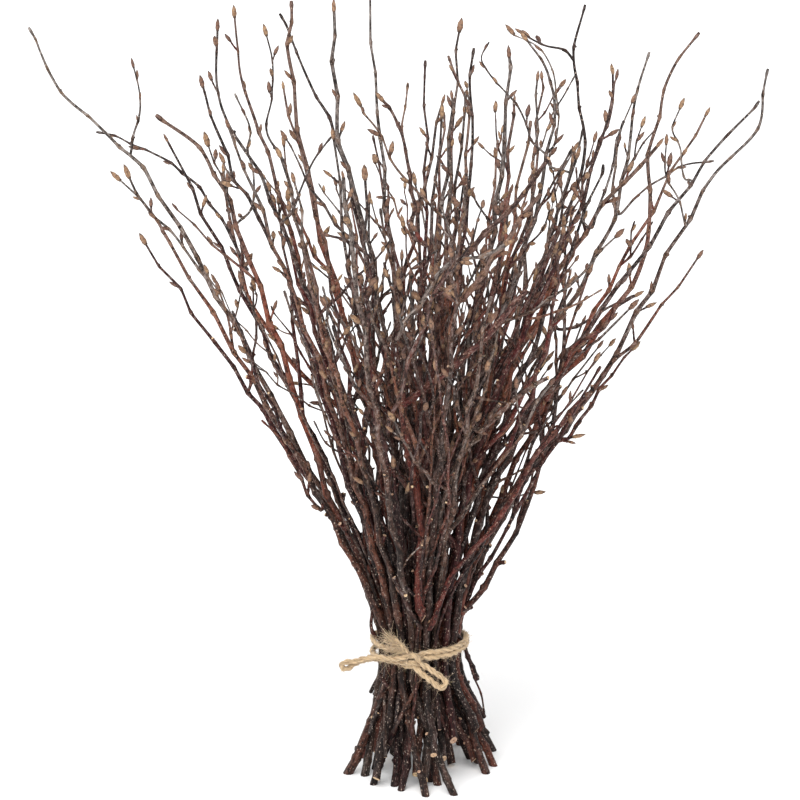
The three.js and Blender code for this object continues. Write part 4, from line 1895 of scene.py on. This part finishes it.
CROSSING_ROUTES = (
    # low on the left: a budded twig, and a thin one that bows out over the tie
    Route("bark_dark", ((-53, -22, 158), (-60, -24, 168), (-67, -26, 184), (-75, -28, 201),
          (-84, -30, 211)), 1.0, 0.5, Tip.KNOB),
    Route("bark_dark", ((-41, -14, 151), (-37, -12, 134), (-32, -9, 118), (-27, -6, 97), (-26, -5, 85),
          (-22, -6, 78)), 0.8, 0.9, Tip.CUT),
    # crown, left to right
    Route("bark_dark", ((-94, 18, 283), (-111, 22, 315), (-133, 26, 338), (-145, 28, 344), (-163, 30, 352),
          (-174, 30, 355)), 0.95, 0.5, Tip.KNOB),
    Route("bark_grey", ((-114, -8, 282), (-130, -8, 306), (-142, -10, 319), (-157, -12, 336)), 0.85, 0.5),
    Route("bark_grey", ((-150, -10, 353), (-148, -12, 364), (-145, -14, 377), (-146, -14, 388),
          (-148, -14, 395)), 0.65, 0.42),
    Route("bark_grey", ((-88, 0, 323), (-90, 0, 350), (-90, 0, 362), (-97, -2, 380)), 0.7, 0.42, Tip.KNOB),
    Route("bark_grey", ((-82, 30, 354), (-80, 32, 373), (-79, 34, 394), (-82, 34, 406)), 0.65, 0.42),
    Route("bark_grey", ((-65, -30, 326), (-61, -31, 336), (-53, -32, 354), (-46, -33, 362)), 0.7, 0.45,
          Tip.KNOB),
    Route("bark_red", ((-12, -20, 343), (-25, -24, 368), (-31, -26, 377)), 0.7, 0.5),
    Route("bark_red", ((-4, -64, 317), (-4, -68, 336), (-7, -70, 353), (-11, -72, 374), (-19, -74, 386)),
          1.15, 0.7),
    Route("bark_red", ((-9, -71, 366), (-9, -72, 380), (-7, -74, 395)), 0.6, 0.4, Tip.KNOB),
    Route("bark_red", ((10, -60, 291), (24, -64, 309), (42, -66, 328), (54, -68, 343), (63, -70, 357)), 1.7,
          1.1, Tip.CUT),
    Route("bark_red", ((17, -66, 284), (35, -70, 305), (49, -74, 326), (59, -76, 340)), 1.5, 1.0, Tip.CUT),
    Route("bark_grey", ((55, -62, 365), (53, -62, 371), (40, -64, 391), (29, -66, 407), (33, -66, 414)),
          0.6, 0.36, Tip.KNOB),
    Route("bark_grey", ((65, -40, 349), (67, -40, 356), (69, -42, 379), (66, -44, 396), (59, -46, 408),
          (43, -48, 418)), 0.6, 0.34, Tip.KNOB),
    Route("bark_grey", ((69, -42, 379), (73, -44, 386), (77, -46, 395)), 0.45, 0.34, Tip.KNOB),
    Route("bark_dark", ((84, 27, 394), (76, 24, 399), (67, 20, 402), (54, 16, 409)), 0.75, 0.45),
    Route("bark_red", ((85, -60, 355), (90, -62, 367), (94, -64, 380), (96, -66, 396)), 0.7, 0.42),
    Route("bark_grey", ((84, -68, 321), (90, -72, 340), (95, -74, 355), (96, -76, 366), (99, -78, 377)),
          0.8, 0.45, Tip.KNOB),
    Route("bark_dark", ((110, 36, 310), (117, 38, 317), (132, 40, 329), (145, 42, 335), (160, 44, 337)),
          0.75, 0.45, Tip.KNOB),
    Route("bark_grey", ((136, -20, 340), (135, -20, 352), (130, -22, 363), (133, -22, 375)), 0.6, 0.42),
    Route("bark_grey", ((142, 6, 309), (135, 4, 327), (128, 2, 342), (129, 0, 353)), 0.6, 0.42),
    Route("bark_red", ((85, 20, 237), (93, 22, 245), (105, 26, 257), (117, 28, 265)), 0.8, 0.5),
    # front, above the tie
    Route("bark_red", ((-10, -58, 234), (-8, -51, 212), (-5, -44, 193), (-1, -38, 167), (1, -34, 144),
          (-1, -30, 113), (2, -28, 99)), 1.9, 2.3, Tip.CUT, True),
    Route("bark_red", ((73, -38, 210), (57, -37, 187), (43, -35, 159), (27, -33, 138), (17, -31, 125),
          (12, -29, 111), (5, -27, 92)), 1.05, 1.5, Tip.CUT),
    Route("bark_grey", ((41, -49, 225), (34, -48, 213), (23, -45, 198), (13, -41, 171), (10, -37, 153)),
          1.1, 1.4, Tip.CUT, True),
    Route("bark_grey", ((1, -27, 93), (-8, -30, 110), (-14, -32, 124)), 1.2, 1.25, Tip.CUT, True),
    Route("bark_dark", ((-11, -31, 120), (-3, -33, 114)), 1.0, 0.9, Tip.CUT),
    # across the middle
    Route("bark_red", ((9, -72, 245), (17, -74, 252), (28, -76, 262), (39, -78, 276), (53, -80, 292)), 1.8,
          1.4, Tip.CUT),
    Route("bark_grey", ((30, -52, 211), (37, -56, 218), (46, -60, 229), (54, -62, 235), (65, -64, 243)),
          1.3, 1.1, Tip.CUT),
    Route("bark_grey", ((-12, -78, 268), (-7, -80, 277), (-1, -82, 285), (8, -84, 301), (16, -84, 307),
          (31, -84, 311), (41, -84, 316)), 1.3, 0.9),
    Route("bark_red", ((-24, -50, 243), (-28, -48, 261), (-33, -46, 277), (-37, -44, 292), (-38, -42, 309),
          (-47, -40, 312)), 1.05, 0.7),
    Route("bark_dark", ((79, -8, 194), (86, -8, 205), (94, -8, 217), (100, -8, 227), (113, -8, 244)), 1.2,
          0.6),
    Route("bark_red", ((66, -30, 222), (73, -34, 238), (84, -38, 256), (93, -40, 262), (104, -42, 279)),
          1.3, 0.7, Tip.KNOB),
    Route("bark_dark", ((46, -20, 152), (54, -22, 170), (64, -24, 186), (72, -24, 196), (81, -24, 200)),
          1.3, 0.7),
    Route("bark_grey", ((76, 20, 248), (93, 22, 254), (105, 24, 261), (117, 26, 266)), 1.0, 0.6, Tip.KNOB),
    # beside and under the tie
    Route("bark_dark", ((19, -10, 86), (26, -4, 71), (29, -2, 62), (32, -2, 53)), 1.1, 1.25, Tip.KNOB),
    Route("bark_dark", ((28, -4, 62), (30, -6, 56), (34, -8, 48), (36, -10, 36)), 0.6, 0.5, Tip.KNOB),
    Route("bark_dark", ((-17, -20, 56), (-22, -17, 63)), 1.1, 1.0, Tip.CUT, True),
)


@dataclass
class CrossingTwigs(TwigPart):
    """Side twigs and broken twigs that cross the bundle's front and end its outline."""

    axis: np.ndarray
    habit: GrowthHabit = field(default_factory=GrowthHabit)
    sides: int = 10

    def build(self) -> list[bpy.types.Object]:
        """Grow the routes, joined by their bark.

        Returns:
            One piece for each bark.
        """
        rng = np.random.default_rng(SEED * 13)
        pieces = []
        for slot in BARKS:
            sheaf = Sheaf()
            grower = Grower(sheaf, self.habit, rng, self.room)
            for route in CROSSING_ROUTES:
                if route.slot == slot:
                    self.grow(grower, route)
            pieces.append(self.finish(sheaf, f"crossing_twigs_{slot.removeprefix('bark_')}", slot))
        return pieces

    def grow(self, grower: Grower, route: Route) -> None:
        """Grow one route.

        Args:
            grower: Where it grows.
            route: The route.
        """
        points = np.array(route.points) * MM + self.axis
        if not route.loose:
            points = grower.room.seat(points, route.butt * MM)
        line = smooth_line(points, self.habit.side_step)
        radii = grower.taper_tip(np.linspace(route.butt, route.tip, len(line)) * MM, route.ends)
        stem = grower.settle(line, radii, float(grower.rng.random()), ages_at(line[:, 2]), side=True)
        cut = route.ends is Tip.CUT
        top = unit(stem.tip_direction + grower.rng.normal(0, 0.3, 3)) if cut else None
        grower.skin(stem, self.sides, Skin.WOOD, Skin.WOOD if cut else Skin.BARK, (None, top))
        grower.finish_tip(stem, route.ends)
        grower.dress(stem, 0)


# --- The twine ---


@dataclass
class TwineTie:
    """Two-ply jute twine: two wraps, a knot, two bow loops and a frayed end."""

    diameter: float = 2.8 * MM
    wrap_radius: float = 25.94 * MM
    waist_height: float = 74 * MM
    pitch: float = 8.6 * MM
    ply_radius: float = 1.06 * MM
    ply_offset: float = 0.55 * MM
    ply_sides: int = 14
    step: float = 0.75 * MM
    yarn_bumps: int = 90
    wrap_points: int = 22
    knot_angle: float = -math.pi / 2 - 0.16
    wrap_widening: float = 0.02
    path_every: int = 4
    hairs: int = 2600
    hair_lift: Span = (0.1, 0.9)
    hair_run: Span = (0.5, 1.5)
    hair_spread: float = 0.35
    hair_length: Span = (2.0, 1.3)
    hair_radius: Span = (0.045, 0.085)
    hair_curl: float = 0.35
    hair_taper: float = 0.7
    longest_hair: float = 9 * MM
    frayed_hairs: int = 380
    frayed_radius: Span = (0.11, 0.27)
    frayed_reach: Span = (3.0, 9.5)
    frayed_look_back: int = 8
    frayed_aim: Point = (-0.7, 0.05, 0.0)
    frayed_length: float = 13 * MM
    loose_end: tuple[Point, ...] = (
        (-13.6, -29.4, 87.2),
        (-11, -29.8, 84.5),
        (-8, -30, 81),
        (-5, -28.8, 77.2),
    )
    hitch: tuple[Point, ...] = (
        (-8, -29.2, 72.4),
        (-3, -30.4, 73),
        (-0.8, -31.6, 76.4),
        (-3.4, -32.2, 79.4),
        (-6.8, -31.8, 78.4),
    )
    left_loop: tuple[Point, ...] = (
        (-14, -30, 76.5),
        (-23, -25.4, 76),
        (-30, -22.2, 73.6),
        (-36, -20.8, 71.4),
        (-40.6, -20.4, 70.9),
        (-42.9, -20, 68.8),
        (-42, -19.4, 66.7),
        (-39.4, -18.8, 66.5),
        (-36.6, -18.3, 68.6),
        (-31, -19.2, 71.4),
        (-24, -22.6, 73.8),
        (-14, -28.6, 74.6),
        (-6.5, -31.6, 74.8),
    )
    right_loop: tuple[Point, ...] = (
        (0.5, -31.6, 74.2),
        (4, -32.4, 72.4),
        (8, -33, 69.8),
        (11.6, -33.3, 67.2),
        (14, -33.5, 64.4),
        (13.2, -33.8, 61.9),
        (10.8, -34, 61.3),
        (8, -33.8, 63.6),
        (4.4, -33.2, 66.4),
        (0.2, -32.2, 69.6),
        (-3.5, -30.6, 73),
    )

    def axis(self) -> np.ndarray:
        """Find the middle of the waist from the wraps' right and back edges."""
        _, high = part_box("twine")
        reach = self.wrap_radius + self.diameter / 2
        return np.array([high[0] - reach, high[1] - reach, 0.0])

    def wrap(self, rise: float, left_drop: float, back_drop: float) -> list[Point]:
        """List the points of one turn round the waist, in millimetres from its axis.

        Args:
            rise: Height above the waist.
            left_drop: How much lower the turn lies on its left side.
            back_drop: How much lower it lies at the back.

        Returns:
            The points, from the knot round to the knot.
        """
        radius = self.wrap_radius / MM + left_drop * self.wrap_widening
        points = []
        for index in range(1, self.wrap_points):
            angle = self.knot_angle + index / self.wrap_points * FULL_TURN
            left = max(0.0, -math.cos(angle)) ** 1.5
            back = max(0.0, math.sin(angle))
            height = self.waist_height / MM + rise - left_drop * left - back_drop * back
            points.append((math.cos(angle) * radius, math.sin(angle) * radius, height))
        return points

    def route(self) -> np.ndarray:
        """Run the whole twine from its loose end through wraps, hitch and loops."""
        points = [*self.loose_end, *self.wrap(4.4, 0.4, 4), *self.wrap(1.5, 5.6, 4)]
        points += [*self.hitch, *self.left_loop, *self.right_loop]
        return smooth_line(np.array(points) * MM + self.axis(), self.step)

    def build(self, wardrobe: Wardrobe) -> list[bpy.types.Object]:
        """Lay the twine and its hairs.

        Args:
            wardrobe: The materials.

        Returns:
            The twine and the hairs.
        """
        rng = np.random.default_rng(SEED * 11)
        route = self.route()
        plies = self.plies(route)
        sheaf = Sheaf()
        for number, ply in enumerate(plies):
            self.lay_ply(sheaf, ply, number, rng)
        twine = sheaf.build("jute_twine")
        wardrobe.dress_fibre(twine, wardrobe.jute)
        place_piece(twine, "twine")
        LOG.info("%s: %.0f mm long", twine.name, lengths_along(route)[-1] / MM)
        return [twine, self.lay_hairs(route, plies, rng, wardrobe)]

    def plies(self, route: np.ndarray) -> list[np.ndarray]:
        """Twist two ply lines round the route.

        Args:
            route: The twine's middle line.

        Returns:
            The line of each ply.
        """
        _, across, aside = frames_along(route)
        turn = lengths_along(route) / self.pitch * FULL_TURN
        lines = []
        for start in (0.0, math.pi):
            around = np.cos(turn + start)[:, None] * across + np.sin(turn + start)[:, None] * aside
            lines.append(route + around * self.ply_offset)
        return lines

    def lay_ply(self, sheaf: Sheaf, ply: np.ndarray, number: int, rng: np.random.Generator) -> None:
        """Lay one ply with the ridges of its yarn.

        Args:
            sheaf: Where the surface goes.
            ply: The ply's line.
            number: Which ply it is.
            rng: Random numbers.
        """
        angles = np.arange(self.ply_sides) * FULL_TURN / self.ply_sides
        along = lengths_along(ply)[:, None]
        bumps = np.linspace(0, along[-1, 0], self.yarn_bumps)
        slow = np.interp(along[:, 0], bumps, rng.normal(0, 0.06, self.yarn_bumps))[:, None]
        relief = 1 + slow + 0.12 * np.sin(4 * angles + along / (1.0 * MM))
        relief = relief + 0.06 * np.sin(3 * angles - along / (2.1 * MM))
        relief = relief + rng.normal(0, 0.05, relief.shape)
        tube = Tube(ply, np.full(len(ply), self.ply_radius), self.ply_sides)
        tube.add_to(sheaf, np.zeros(len(ply)), 0.5, number * 0.4, relief)

    def lay_hairs(
        self, route: np.ndarray, plies: list[np.ndarray], rng: np.random.Generator, wardrobe: Wardrobe
    ) -> bpy.types.Object:
        """Let loose fibres stand off the twine, thickest at its frayed end.

        Args:
            route: The twine's middle line.
            plies: The plies' lines.
            rng: Random numbers.
            wardrobe: The materials.

        Returns:
            The piece with all hairs.
        """
        sheaf = Sheaf()
        for _ in range(self.hairs):
            ply = plies[int(rng.integers(2))]
            index = int(rng.integers(2, len(ply) - 2))
            tangent = unit(ply[index + 1] - ply[index - 1])
            away = unit(ply[index] - route[index])
            outward = away * rng.uniform(*self.hair_lift)
            onward = tangent * rng.choice([-1, 1]) * rng.uniform(*self.hair_run)
            aim = unit(outward + onward + rng.normal(0, self.hair_spread, 3))
            length = min(rng.gamma(*self.hair_length) * MM, self.longest_hair)
            start = ply[index] + away * self.ply_radius * 0.7
            self.hair(sheaf, start, aim, length, rng.uniform(*self.hair_radius) * MM, rng)
        out = unit(route[0] - route[self.frayed_look_back])
        steps = int(self.frayed_length / self.step)
        for _ in range(self.frayed_hairs):
            start = route[int(rng.integers(steps))] + rng.normal(0, 0.8, 3) * MM
            aim = unit(out * 0.5 + np.array(self.frayed_aim) + rng.normal(0, 0.3, 3))
            length = rng.uniform(*self.frayed_reach) * MM
            self.hair(sheaf, start, aim, length, rng.uniform(*self.frayed_radius) * MM, rng)
        piece = sheaf.build("twine_hairs")
        wardrobe.dress_fibre(piece, wardrobe.hair)
        return place_piece(piece)

    def hair(
        self,
        sheaf: Sheaf,
        start: np.ndarray,
        aim: np.ndarray,
        length: float,
        radius: float,
        rng: np.random.Generator,
    ) -> None:
        """Lay one curved fibre.

        Args:
            sheaf: Where the surface goes.
            start: Where it leaves the twine.
            aim: Its direction there.
            length: Its length.
            radius: Its radius there.
            rng: Random numbers.
        """
        part = np.linspace(0, 1, 4)[:, None]
        curl = rng.normal(0, self.hair_curl, 3) * length
        line = start + aim * length * part + curl * part**2
        radii = radius * (1 - self.hair_taper * part[:, 0])
        Tube(line, radii, 3).add_to(sheaf, np.zeros(4), float(rng.random()), float(rng.random()))


# --- Studio ---


@dataclass
class Studio:
    """Pale floor, soft lights and the camera."""

    distance: float = 1.3
    elevation: float = 15.0
    target: Point = (-0.0012, 0.0115, 0.214)
    lens: float = 108.3
    sensor: float = 36.0
    floor_half: float = 6.0
    floor_colour: Colour = (0.97, 0.97, 0.97, 1.0)
    world_strength: float = 0.83
    key_power: float = 2.7
    key_softness: float = 50.0
    key_direction: Point = (0.22, 0.72, -1.0)

    def build(self) -> None:
        """Make the floor, the world, the lights and the camera."""
        scene = bpy.context.scene
        scene.view_settings.view_transform = "Standard"
        self.floor()
        self.world()
        self.sun()
        camera = bpy.data.objects.new("camera", bpy.data.cameras.new("camera"))
        camera.data.lens = self.lens
        camera.data.sensor_width = self.sensor
        angle = math.radians(self.elevation)
        aim = Vector(self.target)
        camera.location = aim + Vector((0, -math.cos(angle), math.sin(angle))) * self.distance
        camera.rotation_euler = (aim - camera.location).to_track_quat("-Z", "Y").to_euler()
        scene.collection.objects.link(camera)
        scene.camera = camera

    def floor(self) -> None:
        """Make the plain pale floor."""
        half = self.floor_half
        mesh = bpy.data.meshes.new("floor")
        corners = [(-half, -half, 0), (half, -half, 0), (half, half, 0), (-half, half, 0)]
        mesh.from_pydata(corners, [], [(0, 1, 2, 3)])
        floor = bpy.data.objects.new("floor", mesh)
        material = bpy.data.materials.new("pale_floor")
        material.use_nodes = True
        shader = material.node_tree.nodes["Principled BSDF"]
        shader.inputs["Base Color"].default_value = self.floor_colour
        shader.inputs["Roughness"].default_value = 0.9
        shader.inputs["Specular IOR Level"].default_value = 0.1
        mesh.materials.append(material)
        bpy.context.scene.collection.objects.link(floor)

    def world(self) -> None:
        """Light everything evenly from all round."""
        world = bpy.data.worlds.new("studio")
        world.use_nodes = True
        background = world.node_tree.nodes["Background"]
        background.inputs[0].default_value = (1.0, 1.0, 1.0, 1.0)
        background.inputs[1].default_value = self.world_strength
        bpy.context.scene.world = world

    def sun(self) -> None:
        """Add a broad soft light from the front, above and to the left."""
        lamp = bpy.data.lights.new("softbox", "SUN")
        lamp.energy = self.key_power
        lamp.angle = math.radians(self.key_softness)
        holder = bpy.data.objects.new("softbox", lamp)
        holder.rotation_euler = Vector(self.key_direction).to_track_quat("-Z", "Y").to_euler()
        bpy.context.scene.collection.objects.link(holder)


def growing_room() -> Room:
    """Give the box that side twigs may fill: the solids' own, and a little more."""
    low, high = (np.array(corner) for corner in CAD_BOX)
    margin = MARGIN_SHARE * (high - low) + MARGIN
    return Room(low - margin, high + margin)


def main() -> None:
    """Build the studio, the twigs and the tie."""
    logging.basicConfig(level=logging.INFO, format="%(message)s")
    Studio().build()
    wardrobe = Wardrobe.build()
    room = growing_room()
    knotted = TwineTie()
    tie = knotted.build(wardrobe)
    crowd = TwigCrowd(wardrobe, room, knotted.axis())
    twigs = crowd.build()
    cores = [Core.of_node(node) for node in crowd.slots()]
    thin = ThinTwigs(wardrobe, room).build(cores)
    crossing = CrossingTwigs(wardrobe, room, knotted.axis()).build()
    pieces = [*twigs, *thin, *crossing, *tie]
    for piece in pieces:
        LOG.info("%s: %d faces", piece.name, len(piece.data.polygons))
    LOG.info("%d pieces, %d faces", len(pieces), sum(len(piece.data.polygons) for piece in pieces))


if __name__ == "__main__":
    main()
